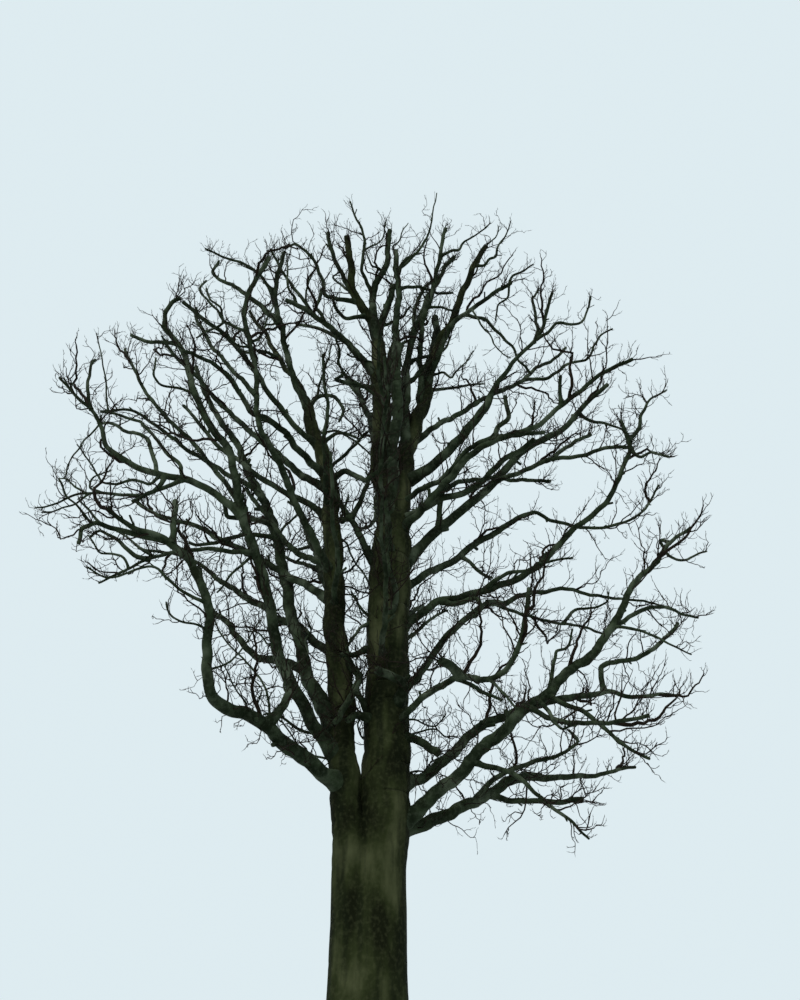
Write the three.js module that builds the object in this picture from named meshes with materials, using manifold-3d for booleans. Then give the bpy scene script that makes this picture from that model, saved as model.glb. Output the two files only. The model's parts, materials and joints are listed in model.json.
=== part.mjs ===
// A bare winter tree, full grown and once pruned back: a short thick trunk forks into two stems,
// the right stem parts again into two leaders, crooked boughs leave them all the way up, and a
// mass of bare twigs grows on the outer stretch of every limb.
// Millimetres. +X is the right of the tree as it is seen from its front, +Y is away from the
// front, +Z is up. The origin is in the middle of the flat cut under the trunk, at the ground.
import * as THREE from "three";
import Module from "manifold-3d";

const wasm = await Module();
wasm.setup();

const { Vector3 } = THREE;

// Trunk: an oval section that is narrowest at its waist, a root flare with buttresses at the
// foot, and a rounded top at the fork, which ends in a face `topFace` times as wide.
const trunk = {
  height: 5050,
  width: 1450,
  thickness: 1200,
  foot: new Vector3(0, 0, 0),
  fork: new Vector3(30, 0, 5050),
  waist: 0.9,
  waistHeight: 2600,
  flare: 0.42,
  flareHeight: 520,
  buttresses: 5,
  buttressDepth: 0.32,
  buttressTurn: 0.6,
  roundedTop: 520,
  topFace: 0.5,
  sides: 20,
};
const trunkRingHeights = [0, 150, 350, 650, 1100, 1800, 2600, 3500, 4200, 4600, 4850, 4990, 5050];

// Stems rise from inside the trunk's top. A limb is a chain of straight legs: each leg goes so
// far to the right (or left, when negative) and so far up, and `depth` is how far the whole limb
// goes back (or forward, when negative), shared evenly by its legs. `girth` and `tip` are its
// diameters at its root and at its end.
const stems = [
  { name: "stem_left", root: [-350, -60, 4000], depth: -150, girth: 590, tip: 300,
    legs: [[-270, 2350], [-200, 2000], [-200, 2900], [-400, 2100], [-400, 1600]] },
  { name: "stem_main", root: [180, 40, 4000], depth: 100, girth: 850, tip: 800,
    legs: [[90, 2300], [0, 2100], [100, 3300]] },
  { name: "leader_mid", from: "stem_main", along: 7300, depth: -300, girth: 570, tip: 380,
    legs: [[-230, 1300], [0, 1500], [-100, 1200], [-100, 1900]] },
  { name: "leader_right", from: "stem_main", along: 7300, depth: 500, girth: 530, tip: 300,
    legs: [[250, 1400], [200, 1200], [300, 1100], [200, 1300]] },
];

// Boughs leave the trunk, a stem or another bough, `along` it from its root.
const boughs = [
  { name: "bough_low_right", from: "trunk", along: 4500, depth: -1200, girth: 380, tip: 200,
    legs: [[1400, 700], [1000, 900], [1000, 800], [900, 600], [600, 800]] },
  { name: "bough_level", from: "trunk", along: 4300, depth: 2400, girth: 240, tip: 190,
    legs: [[1700, 900], [1000, 700], [1200, 300]] },
  { name: "bough_low_right_back", from: "stem_main", along: 1080, depth: 1600, girth: 250, tip: 150,
    legs: [[900, 700], [1000, 900], [1700, 800], [1200, 400]] },
  { name: "bough_low_left", from: "stem_left", along: 1400, depth: -2800, girth: 330, tip: 190,
    legs: [[-600, 200], [-500, 300], [-600, 200], [-400, 100]] },
  { name: "bough_low_left_rising", from: "bough_low_left", depth: -600, girth: 180, tip: 130,
    legs: [[-100, 700], [0, 700], [-400, 800], [-400, 300]] },
  { name: "bough_left_front", from: "stem_left", along: 1770, depth: -1700, girth: 310, tip: 200,
    legs: [[-600, 700], [-500, 800], [-400, 1400], [-500, 1300], [-300, 1000]] },
  { name: "bough_left_far", from: "bough_left_front", along: 5400, depth: -600, girth: 180, tip: 130,
    legs: [[-900, 700], [-1000, 100], [-1000, 500]] },
  { name: "bough_left_inner", from: "stem_left", along: 2270, depth: 1200, girth: 260, tip: 180,
    legs: [[-800, 1500], [-500, 1600], [-400, 1700], [-700, 1800]] },
  { name: "bough_left_mid", from: "stem_left", along: 3970, depth: 2600, girth: 190, tip: 140,
    legs: [[-900, 1100], [-1000, 900], [-1400, 1200]] },
  { name: "bough_upper_front", from: "stem_left", along: 5870, depth: -2000, girth: 220, tip: 150,
    legs: [[-500, 700], [-500, 900], [-700, 1100]] },
  { name: "bough_upper_back", from: "stem_left", along: 8070, depth: 800, girth: 210, tip: 140,
    legs: [[-800, 700], [-1300, 1400], [-1100, 1300]] },
  { name: "bough_dipping", from: "stem_main", along: 2480, depth: -2800, girth: 190, tip: 140,
    legs: [[1000, 400], [400, 0], [400, -500]] },
  { name: "bough_right_back", from: "stem_main", along: 2980, depth: 1600, girth: 190, tip: 150,
    legs: [[900, 1200], [800, 1200], [700, 800]] },
  { name: "bough_right_front", from: "stem_main", along: 4380, depth: -1000, girth: 250, tip: 170,
    legs: [[1000, 800], [900, 100], [1200, 400], [1000, 1000]] },
  { name: "bough_right_mid", from: "stem_main", along: 5280, depth: 1400, girth: 240, tip: 190,
    legs: [[900, 1000], [1100, 1000], [1600, 1300]] },
  { name: "bough_right_high", from: "stem_main", along: 5780, depth: 800, girth: 270, tip: 210,
    legs: [[900, 1300], [900, 1000], [1000, 1200]] },
  { name: "bough_upper_right", from: "leader_right", along: 1200, depth: -300, girth: 260, tip: 190,
    legs: [[800, 600], [1000, 1200], [600, 1100]] },
  { name: "bough_upper_right_front", from: "stem_main", along: 6880, depth: -2200, girth: 210, tip: 150,
    legs: [[1200, 1000], [900, 600], [1100, -100]] },
];

// The limbs that carry the twigs: they grow on from the end of a bough or a stem, or leave a
// stem `along` its length. `bare` is the share of a long one that carries none.
const twigLimbs = [
  { name: "twigs_low_left", from: "bough_low_left_rising", depth: -500, girth: 120, tip: 60,
    legs: [[-600, 100], [-400, 300]] },
  { name: "twigs_left_front", from: "bough_left_front", depth: -700, girth: 180, tip: 110,
    legs: [[-200, 900], [-800, 1100], [-500, 1400], [-500, 600]] },
  { name: "twigs_left_front_side", from: "bough_left_front", along: 5700, depth: 900, girth: 130, tip: 80,
    legs: [[-1200, 1700], [-1300, 1500], [-1100, 2000]] },
  { name: "twigs_left_far", from: "bough_left_far", depth: -400, girth: 100, tip: 50,
    legs: [[-300, 800], [-900, 800]] },
  { name: "twigs_left_inner", from: "bough_left_inner", depth: 400, girth: 160, tip: 100,
    legs: [[-800, 1800], [-900, 1400], [-600, 1400]] },
  { name: "twigs_left_mid", from: "bough_left_mid", depth: 1000, girth: 120, tip: 70,
    legs: [[-1100, 1000], [-1500, 500]] },
  { name: "twigs_left_cross", from: "stem_left", along: 5270, depth: 1600, girth: 190, tip: 80,
    bare: 0.45, legs: [[-800, 700], [-1200, 900], [-1600, 1100], [-1700, 900]] },
  { name: "twigs_upper_front", from: "bough_upper_front", depth: -700, girth: 130, tip: 90,
    legs: [[-100, 1400], [-200, 1500], [300, 1600]] },
  { name: "twigs_upper_back", from: "bough_upper_back", depth: -500, girth: 120, tip: 80,
    legs: [[-700, 800], [-800, 800]] },
  { name: "twigs_upper_crossing", from: "stem_left", along: 9270, depth: -2200, girth: 170, tip: 100,
    legs: [[-1200, 1100], [-1000, 1200], [-1000, 400]] },
  { name: "twigs_stem_tip_left", from: "stem_left", depth: 1000, girth: 200, tip: 120,
    legs: [[-700, 1300], [-600, 1400], [-700, 1300]] },
  { name: "twigs_stem_tip_mid", from: "stem_left", along: 10570, depth: -1200, girth: 190, tip: 120,
    legs: [[-500, 1100], [-200, 900], [-300, 1200], [200, 1200]] },
  { name: "twigs_low_right", from: "bough_low_right", depth: -500, girth: 170, tip: 70,
    legs: [[500, 700], [600, 600], [500, 400]] },
  { name: "twigs_low_right_back", from: "bough_low_right_back", depth: 800, girth: 130, tip: 80,
    legs: [[900, -100], [1000, 300]] },
  { name: "twigs_low_right_front", from: "bough_low_right", along: 3800, depth: -2600, girth: 130, tip: 70,
    legs: [[500, -600], [400, -300], [500, -100]] },
  { name: "twigs_dipping", from: "bough_dipping", depth: -1000, girth: 130, tip: 100,
    legs: [[300, 100], [200, 400], [100, 800]] },
  { name: "twigs_right_back", from: "bough_right_back", depth: 2000, girth: 130, tip: 80,
    legs: [[1000, -100], [1000, 100], [1200, 0]] },
  { name: "twigs_right_front", from: "bough_right_front", depth: -700, girth: 160, tip: 100,
    legs: [[700, 500], [600, 1200], [-200, 600]] },
  { name: "twigs_right_mid", from: "bough_right_mid", depth: 200, girth: 140, tip: 70,
    legs: [[400, -300], [1300, -200], [1100, 500], [600, 900]] },
  { name: "twigs_right_high", from: "bough_right_high", depth: 400, girth: 200, tip: 120,
    legs: [[700, 900], [1100, 700], [1400, 1700]] },
  { name: "twigs_right_high_front", from: "bough_right_high", along: 4200, depth: -1800,
    girth: 160, tip: 100, legs: [[800, 0], [1100, -100], [1000, -200]] },
  { name: "twigs_upper_right", from: "bough_upper_right", depth: -700, girth: 170, tip: 110,
    legs: [[500, 700], [700, 600], [400, 1300]] },
  { name: "twigs_upper_right_front", from: "bough_upper_right_front", depth: -1000, girth: 140, tip: 100,
    legs: [[900, 700], [400, 200], [600, 100]] },
  { name: "twigs_top_right_side", from: "leader_right", along: 2400, depth: 2200, girth: 190, tip: 100,
    bare: 0.4, legs: [[800, 1100], [1100, 1100], [1000, 900], [900, 1200], [1100, 1200]] },
  { name: "twigs_level", from: "bough_level", depth: 1400, girth: 150, tip: 80,
    legs: [[1000, 200], [1200, 400]] },
  { name: "twigs_top_left", from: "leader_mid", depth: -1200, girth: 230, tip: 140,
    legs: [[-600, 900], [-100, 700], [-100, 800]] },
  { name: "twigs_top_mid", from: "leader_mid", along: 5400, depth: -800, girth: 220, tip: 140,
    legs: [[-200, 1500], [400, 900], [100, 1200]] },
  { name: "twigs_top_front", from: "leader_mid", along: 4300, depth: -1600, girth: 200, tip: 110,
    legs: [[-1000, 900], [-600, 200], [-700, 0]] },
  { name: "twigs_top_centre", from: "leader_mid", along: 2800, depth: -900, girth: 230, tip: 140,
    legs: [[300, 2400], [100, 1200], [-100, 1800]] },
  { name: "twigs_top_back", from: "leader_right", along: 2500, depth: 800, girth: 210, tip: 130,
    bare: 0.35, legs: [[-100, 2500], [300, 3000], [600, 1400]] },
  { name: "twigs_top_right", from: "leader_right", depth: -1600, girth: 240, tip: 140,
    legs: [[300, 800], [500, 800], [800, 1800]] },
  { name: "twigs_top_far_right", from: "leader_right", along: 4700, depth: -2600, girth: 190, tip: 100,
    legs: [[600, 1400], [900, 100], [500, -400]] },
  { name: "twigs_top_high", from: "leader_right", along: 3800, depth: -1600, girth: 200, tip: 120,
    legs: [[0, 2500], [400, 1200], [300, 1500]] },
  { name: "twigs_back_low", from: "stem_main", along: 3280, depth: 5000, girth: 210, tip: 110,
    bare: 0.4, legs: [[100, 1800], [300, 1500], [500, 1100]] },
  { name: "twigs_back_left", from: "stem_left", along: 5270, depth: 4600, girth: 210, tip: 110,
    bare: 0.4, legs: [[-500, 1500], [-400, 1600], [-500, 1700]] },
  { name: "twigs_back_mid", from: "stem_main", along: 5580, depth: 4800, girth: 220, tip: 110,
    bare: 0.45, legs: [[-100, 2400], [-300, 2300], [-200, 2200]] },
  { name: "twigs_back_high", from: "leader_mid", along: 1900, depth: 4000, girth: 210, tip: 110,
    bare: 0.4, legs: [[-300, 2200], [-400, 2100], [-500, 1800]] },
];

// How crooked a limb is: the middle of each leg stands aside by up to this share of the leg.
const crook = 0.06;
const stemSides = 12;
const boughSides = 7;
const twigLimbSides = 5;
const twigSides = 3;

// Twigs, order by order: first those on a limb, then those on them. `gap` is the spacing along
// the parent, `bare` the share of the parent that has none, `open` the angle to the parent,
// `lift` how strongly they turn up, `kink` how far their second half turns aside; the smallest
// are straight.
const twigOrders = [
  { gap: 500, bare: 0.16, length: 1050, open: 58, lift: 0.3, kink: 0.35, thickness: 40 },
  { gap: 460, bare: 0.3, length: 540, open: 48, lift: 0.15, kink: 0, thickness: 22 },
];
// Each twig goes round its parent by the golden angle, give or take; its place and its length
// vary too. The last twig on a parent leads it onward, at a smaller angle.
const goldenAngle = 2.4;
const turnSpread = 0.9;
const placeSpread = 0.7;
const lengthSpread = 0.5;
const leadingOpen = 0.5;
const jointThickness = 0.67;
const seedStep = 31;

// The crown's outline, an oval that no twig leaves, and the room that a twig keeps.
const crown = { middle: new Vector3(-400, 0, 12300), reach: new Vector3(8600, 6700, 8700) };
const lowestTwig = 3200;
const roomBetweenMasses = 70;
const roomToLimb = 45;
const testStep = 50;
const jointGap = 0.3;
const nearlyUpright = 0.9;

// Repeatable random numbers from 0 to 1: a 32-bit counter stepped by an odd number and mixed.
function dice(seed) {
  let state = seed >>> 0;
  return () => {
    state = (state + 0x6d2b79f5) >>> 0;
    let mixed = state;
    mixed = Math.imul(mixed ^ (mixed >>> 15), mixed | 1);
    mixed ^= mixed + Math.imul(mixed ^ (mixed >>> 7), mixed | 61);
    return ((mixed ^ (mixed >>> 14)) >>> 0) / 2 ** 32;
  };
}

// Closed solid through a row of rings of points. The last ring may be a single point.
function loft(rings) {
  const sides = rings[0].length;
  const points = rings.flat();
  const triangles = [];
  const cap = (ring, start, reversed) => {
    if (sides === 3) {
      triangles.push(reversed ? [start, start + 2, start + 1] : [start, start + 1, start + 2]);
      return;
    }
    const middle = new Vector3();
    ring.forEach((point) => middle.addScaledVector(point, 1 / sides));
    points.push(middle);
    for (let i = 0; i < sides; i += 1) {
      const edge = [start + i, start + (i + 1) % sides];
      triangles.push([points.length - 1, ...(reversed ? edge.reverse() : edge)]);
    }
  };
  for (let r = 0; r + 1 < rings.length; r += 1) {
    const low = r * sides;
    const high = low + sides;
    for (let i = 0; i < sides; i += 1) {
      const next = (i + 1) % sides;
      if (rings[r + 1].length === 1) {
        triangles.push([low + i, low + next, high]);
      } else {
        triangles.push([low + i, low + next, high + next], [low + i, high + next, high + i]);
      }
    }
  }
  cap(rings[0], 0, true);
  const last = rings.length - 1;
  if (rings[last].length > 1) cap(rings[last], last * sides, false);
  const vertProperties = new Float32Array(points.flatMap((point) => point.toArray()));
  const triVerts = new Uint32Array(triangles.flat());
  return new wasm.Manifold(new wasm.Mesh({ numProp: 3, vertProperties, triVerts }));
}

// The direction of a path at one of its points: halfway between the legs that meet there.
function directionAt(path, i) {
  const direction = new Vector3();
  if (i > 0) direction.add(path[i].clone().sub(path[i - 1]).normalize());
  if (i + 1 < path.length) direction.add(path[i + 1].clone().sub(path[i]).normalize());
  return direction.normalize();
}

// Two unit vectors square to a direction and to each other, the first as near as can be to a hint.
function squareTo(direction, hint) {
  const first = hint.clone().addScaledVector(direction, -hint.dot(direction)).normalize();
  return [first, new Vector3().crossVectors(direction, first)];
}

// A hint that is well aside of a direction: up, or right for a direction that is nearly upright.
function sideHint(direction) {
  return Math.abs(direction.z) < nearlyUpright ? new Vector3(0, 0, 1) : new Vector3(1, 0, 0);
}

// Tapering tube along a path. A radius of 0 at the end makes a point.
function tube(path, radii, sides) {
  let hint = sideHint(directionAt(path, 0));
  const rings = path.map((centre, i) => {
    if (radii[i] === 0) return [centre];
    const [first, second] = squareTo(directionAt(path, i), hint);
    hint = first;
    return Array.from({ length: sides }, (_, k) => {
      const angle = (2 * Math.PI * k) / sides;
      return centre.clone()
        .addScaledVector(first, radii[i] * Math.cos(angle))
        .addScaledVector(second, radii[i] * Math.sin(angle));
    });
  });
  return loft(rings);
}

function pathLength(path) {
  return path.slice(1).reduce((sum, point, i) => sum + point.distanceTo(path[i]), 0);
}

// Where a path is after a given distance: the point and the direction of its leg.
function walk(path, distance) {
  let left = distance;
  for (let i = 0; i + 1 < path.length; i += 1) {
    const leg = path[i + 1].clone().sub(path[i]);
    const length = leg.length();
    if (left <= length || i + 2 === path.length) {
      const point = path[i].clone().addScaledVector(leg, left / length);
      return { point, direction: leg.normalize() };
    }
    left -= length;
  }
  return null;
}

function limbPath(limb, parent, seed) {
  const roll = dice(seed);
  const along = limb.along ?? (parent ? pathLength(parent.path) - parent.radii.at(-1) / 2 : 0);
  const points = [limb.root ? new Vector3(...limb.root) : walk(parent.path, along).point];
  for (const [across, up] of limb.legs) {
    const start = points.at(-1);
    const end = start.clone().add(new Vector3(across, limb.depth / limb.legs.length, up));
    const aside = new Vector3(roll() - 0.5, roll() - 0.5, roll() - 0.5);
    const middle = start.clone().lerp(end, 0.5).addScaledVector(aside, 2 * crook * start.distanceTo(end));
    points.push(middle, end);
  }
  return points;
}

function taper(path, rootRadius, tipRadius) {
  const total = pathLength(path);
  let gone = 0;
  return path.map((point, i) => {
    if (i > 0) gone += point.distanceTo(path[i - 1]);
    return THREE.MathUtils.lerp(rootRadius, tipRadius, gone / total);
  });
}

function trunkSolid(gap) {
  const centreLine = new THREE.Line3(trunk.foot, trunk.fork);
  const rings = trunkRingHeights.map((height) => {
    const centre = centreLine.at(height / trunk.height, new Vector3());
    const fromWaist = (height - trunk.waistHeight) / trunk.waistHeight;
    const swell = trunk.waist + (1 - trunk.waist) * fromWaist ** 2;
    const intoTop = Math.max(0, height - trunk.height + trunk.roundedTop) / trunk.roundedTop;
    const rounded = Math.sqrt(1 - (1 - trunk.topFace ** 2) * intoTop ** 2);
    return Array.from({ length: trunk.sides }, (_, k) => {
      const angle = (2 * Math.PI * k) / trunk.sides;
      const lobe = 1 + trunk.buttressDepth * Math.cos(trunk.buttresses * angle + trunk.buttressTurn);
      const flare = 1 + trunk.flare * Math.exp(-height / trunk.flareHeight) * lobe;
      const size = swell * rounded * flare;
      return new Vector3(
        centre.x + ((trunk.width / 2) * size + gap) * Math.cos(angle),
        centre.y + ((trunk.thickness / 2) * size + gap) * Math.sin(angle),
        height === trunk.height ? height + gap : height,
      );
    });
  });
  return loft(rings);
}

// A limb's tube made thicker and longer all over by the gap that a neighbour keeps to it.
function grownTube(limb, sides, gap) {
  const path = limb.path.map((point) => point.clone());
  path.at(-1).addScaledVector(directionAt(path, path.length - 1), gap);
  return tube(path, limb.radii.map((radius) => radius + gap), sides);
}

function largestBody(solid) {
  return solid.decompose().reduce((best, body) => (body.volume() > best.volume() ? body : best));
}

function boxesMeet(first, second) {
  const a = first.boundingBox();
  const b = second.boundingBox();
  return [0, 1, 2].every((axis) => a.min[axis] <= b.max[axis] && b.min[axis] <= a.max[axis]);
}

// Limbs by name: their path and radii, and the solids that later limbs are cut clear of.
const limbs = new Map();
limbs.set("trunk", { path: [trunk.foot, trunk.fork], radii: [trunk.thickness / 2, trunk.thickness / 2] });
const keepOut = [trunkSolid(jointGap)];

function makeLimb(limb, seed, sides) {
  const parent = limbs.get(limb.from);
  const path = limbPath(limb, parent, seed);
  const made = { name: limb.name, path, radii: taper(path, limb.girth / 2, limb.tip / 2), bare: limb.bare };
  let solid = tube(made.path, made.radii, sides);
  const whole = solid.volume();
  for (const neighbour of keepOut) {
    if (boxesMeet(solid, neighbour)) solid = solid.subtract(neighbour);
  }
  made.solid = largestBody(solid);
  if (made.solid.volume() < whole / 2) throw new Error(`${limb.name} is cut through by another limb`);
  keepOut.push(grownTube(made, sides, jointGap));
  limbs.set(limb.name, made);
  return made;
}

// How far a point is from a limb's surface; less than 0 inside it.
function distanceToLimb(point, limb) {
  let nearest = Infinity;
  for (let i = 0; i + 1 < limb.path.length; i += 1) {
    const leg = limb.path[i + 1].clone().sub(limb.path[i]);
    const reach = point.clone().sub(limb.path[i]).dot(leg) / leg.lengthSq();
    const share = THREE.MathUtils.clamp(reach, 0, 1);
    const foot = limb.path[i].clone().addScaledVector(leg, share);
    const radius = THREE.MathUtils.lerp(limb.radii[i], limb.radii[i + 1], share);
    nearest = Math.min(nearest, point.distanceTo(foot) - radius);
  }
  return nearest;
}

function insideCrown(point) {
  const share = point.clone().sub(crown.middle).divide(crown.reach);
  return share.length() < 1 && point.z > lowestTwig;
}

// A twig stays if all of it is in the crown, clear of the bare limbs, and nearer to its own
// limb than to any other limb that carries twigs.
function hasRoom(twig, own, bareLimbs, otherTwigLimbs) {
  const total = pathLength(twig.path);
  for (let gone = 0; gone <= total; gone += testStep) {
    const { point } = walk(twig.path, gone);
    if (!insideCrown(point)) return false;
    if (bareLimbs.some((limb) => distanceToLimb(point, limb) < twig.radii[0] + roomToLimb)) return false;
    const toOwn = Math.max(0, distanceToLimb(point, own));
    const limit = toOwn + 2 * twig.radii[0] + roomBetweenMasses;
    if (otherTwigLimbs.some((limb) => distanceToLimb(point, limb) < limit)) return false;
  }
  return true;
}

// The twigs of one order on a parent, and their own twigs after them.
function growTwigs(parent, order, seed, room, twigs) {
  const rule = twigOrders[order];
  const roll = dice(seed);
  const total = pathLength(parent.path);
  const bare = parent.bare ?? rule.bare;
  const count = Math.max(1, Math.round((total * (1 - bare)) / rule.gap));
  let turn = roll() * 2 * Math.PI;
  for (let k = 0; k < count; k += 1) {
    const place = (k + (1 - placeSpread) / 2 + placeSpread * roll()) / count;
    const share = bare + (1 - bare) * place;
    turn += goldenAngle + (roll() - 0.5) * turnSpread;
    const length = rule.length * (1 - lengthSpread / 2 + lengthSpread * roll());
    const kink = new Vector3(roll() - 0.5, roll() - 0.5, roll() - 0.5).multiplyScalar(2 * rule.kink);
    const { point, direction } = walk(parent.path, share * total);
    const [first, second] = squareTo(direction, sideHint(direction));
    const open = THREE.MathUtils.degToRad(rule.open) * (k === count - 1 ? leadingOpen : 1);
    const out = direction.clone().multiplyScalar(Math.cos(open))
      .addScaledVector(first, Math.sin(open) * Math.cos(turn))
      .addScaledVector(second, Math.sin(open) * Math.sin(turn));
    out.z += rule.lift;
    out.normalize();
    const radius = rule.thickness / 2;
    const joint = point.clone().addScaledVector(out, length / 2);
    if (rule.kink > 0) out.add(kink).setZ(out.z + rule.lift).normalize();
    const tip = joint.clone().addScaledVector(out, length / 2);
    const twig = rule.kink > 0
      ? { path: [point, joint, tip], radii: [radius, radius * jointThickness, 0] }
      : { path: [point, tip], radii: [radius, 0] };
    if (!room(twig)) continue;
    twigs.push(twig);
    if (order + 1 < twigOrders.length) growTwigs(twig, order + 1, seed * seedStep + k + 1, room, twigs);
  }
}

const barkColour = 0x3a352a;
const boughColour = 0x353026;
const twigColour = 0x2c251d;
const barkRoughness = 0.95;

function meshOf(name, solid, color) {
  const { vertProperties, triVerts } = solid.getMesh();
  const geometry = new THREE.BufferGeometry();
  geometry.setAttribute("position", new THREE.BufferAttribute(vertProperties, 3));
  geometry.setIndex(new THREE.BufferAttribute(triVerts, 1));
  const material = new THREE.MeshStandardMaterial({ color, roughness: barkRoughness, metalness: 0 });
  const mesh = new THREE.Mesh(geometry, material);
  mesh.name = name;
  return mesh;
}

const tree = new THREE.Group();
tree.add(meshOf("trunk", trunkSolid(0), barkColour));

let seed = 0;
const nextSeed = () => {
  seed += 1;
  return seed;
};
for (const stem of stems) {
  tree.add(meshOf(stem.name, makeLimb(stem, nextSeed(), stemSides).solid, barkColour));
}
for (const bough of boughs) {
  tree.add(meshOf(bough.name, makeLimb(bough, nextSeed(), boughSides).solid, boughColour));
}
const bareLimbs = [...limbs.values()];
const carriers = twigLimbs.map((limb) => ({ limb: makeLimb(limb, nextSeed(), twigLimbSides), seed }));
for (const carrier of carriers) {
  const own = carrier.limb;
  const others = carriers.map((other) => other.limb).filter((limb) => limb !== own);
  const twigs = [];
  growTwigs(own, 0, carrier.seed, (twig) => hasRoom(twig, own, bareLimbs, others), twigs);
  const solid = twigs.reduce((mass, twig) => mass.add(tube(twig.path, twig.radii, twigSides)), own.solid);
  tree.add(meshOf(own.name, largestBody(solid), twigColour));
}

export default tree;
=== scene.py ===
"""A bare winter tree: barked trunk, stems and boughs, and twigs that grow on from them by one rule."""
import json
import math

import bpy
import numpy as np
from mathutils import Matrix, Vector

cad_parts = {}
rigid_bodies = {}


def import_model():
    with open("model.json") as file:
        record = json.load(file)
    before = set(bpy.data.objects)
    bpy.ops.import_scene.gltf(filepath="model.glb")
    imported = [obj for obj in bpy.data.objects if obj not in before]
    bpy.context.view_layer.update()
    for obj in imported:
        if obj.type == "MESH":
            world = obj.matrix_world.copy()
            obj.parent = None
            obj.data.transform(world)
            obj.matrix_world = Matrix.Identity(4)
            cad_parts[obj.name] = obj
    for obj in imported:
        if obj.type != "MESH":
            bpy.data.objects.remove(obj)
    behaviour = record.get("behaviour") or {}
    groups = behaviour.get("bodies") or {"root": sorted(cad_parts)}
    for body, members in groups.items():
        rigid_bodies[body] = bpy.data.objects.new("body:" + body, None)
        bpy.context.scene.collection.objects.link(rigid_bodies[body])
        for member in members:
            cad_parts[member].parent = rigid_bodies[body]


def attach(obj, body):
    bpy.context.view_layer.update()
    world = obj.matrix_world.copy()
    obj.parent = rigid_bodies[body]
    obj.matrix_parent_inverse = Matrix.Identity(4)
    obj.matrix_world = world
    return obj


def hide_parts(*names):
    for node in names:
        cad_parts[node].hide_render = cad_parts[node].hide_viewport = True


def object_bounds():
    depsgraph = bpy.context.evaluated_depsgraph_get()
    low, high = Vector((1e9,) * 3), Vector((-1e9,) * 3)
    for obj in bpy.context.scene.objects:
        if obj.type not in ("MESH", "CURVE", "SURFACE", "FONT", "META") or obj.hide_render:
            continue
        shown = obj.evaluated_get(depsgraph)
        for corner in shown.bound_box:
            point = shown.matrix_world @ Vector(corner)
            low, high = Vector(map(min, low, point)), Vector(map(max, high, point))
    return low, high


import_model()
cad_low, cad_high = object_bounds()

MM = 0.001

# Trunk, in millimetres: an oval that is narrowest at its waist, with a root flare and buttresses.
TRUNK_HEIGHT = 5050
TRUNK_WIDTH = 1450
TRUNK_THICKNESS = 1200
TRUNK_FORK = (30, 0, TRUNK_HEIGHT)
WAIST = 0.9
WAIST_HEIGHT = 2600
FLARE = 0.42
FLARE_HEIGHT = 520
BUTTRESSES = 5
BUTTRESS_DEPTH = 0.32
BUTTRESS_TURN = 0.6
# Between these heights its core dwindles and it parts into the two stems, with a rounded crease.
PARTING_LOW = 1500
PARTING_HIGH = 5250
CORE_LOSS = 0.85
CREASE = 130
# It covers a stem by so much, and above the height given here it sinks into the stem.
STEM_COVER = 30
STEM_COVER_TOP = 4100
STEM_SINK = 150
# The trunk's lumps fade out between these heights, and its rings stand closer above the first.
LUMPS_FADE = (3600, 4600)
LUMP_HEIGHT = 26
LUMP_LENGTH = 800
LUMPS_ROUND = 1.6
RINGS_LOW = 64
RINGS_HIGH = 38
RING_GAP = 40
TRUNK_SIDES = 150
# How far out from its middle line the trunk's surface is looked for, and how finely.
RAY_LENGTH = 1500
RAY_STEP = 12.0
NEVER_ZERO = 1e-9

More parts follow.
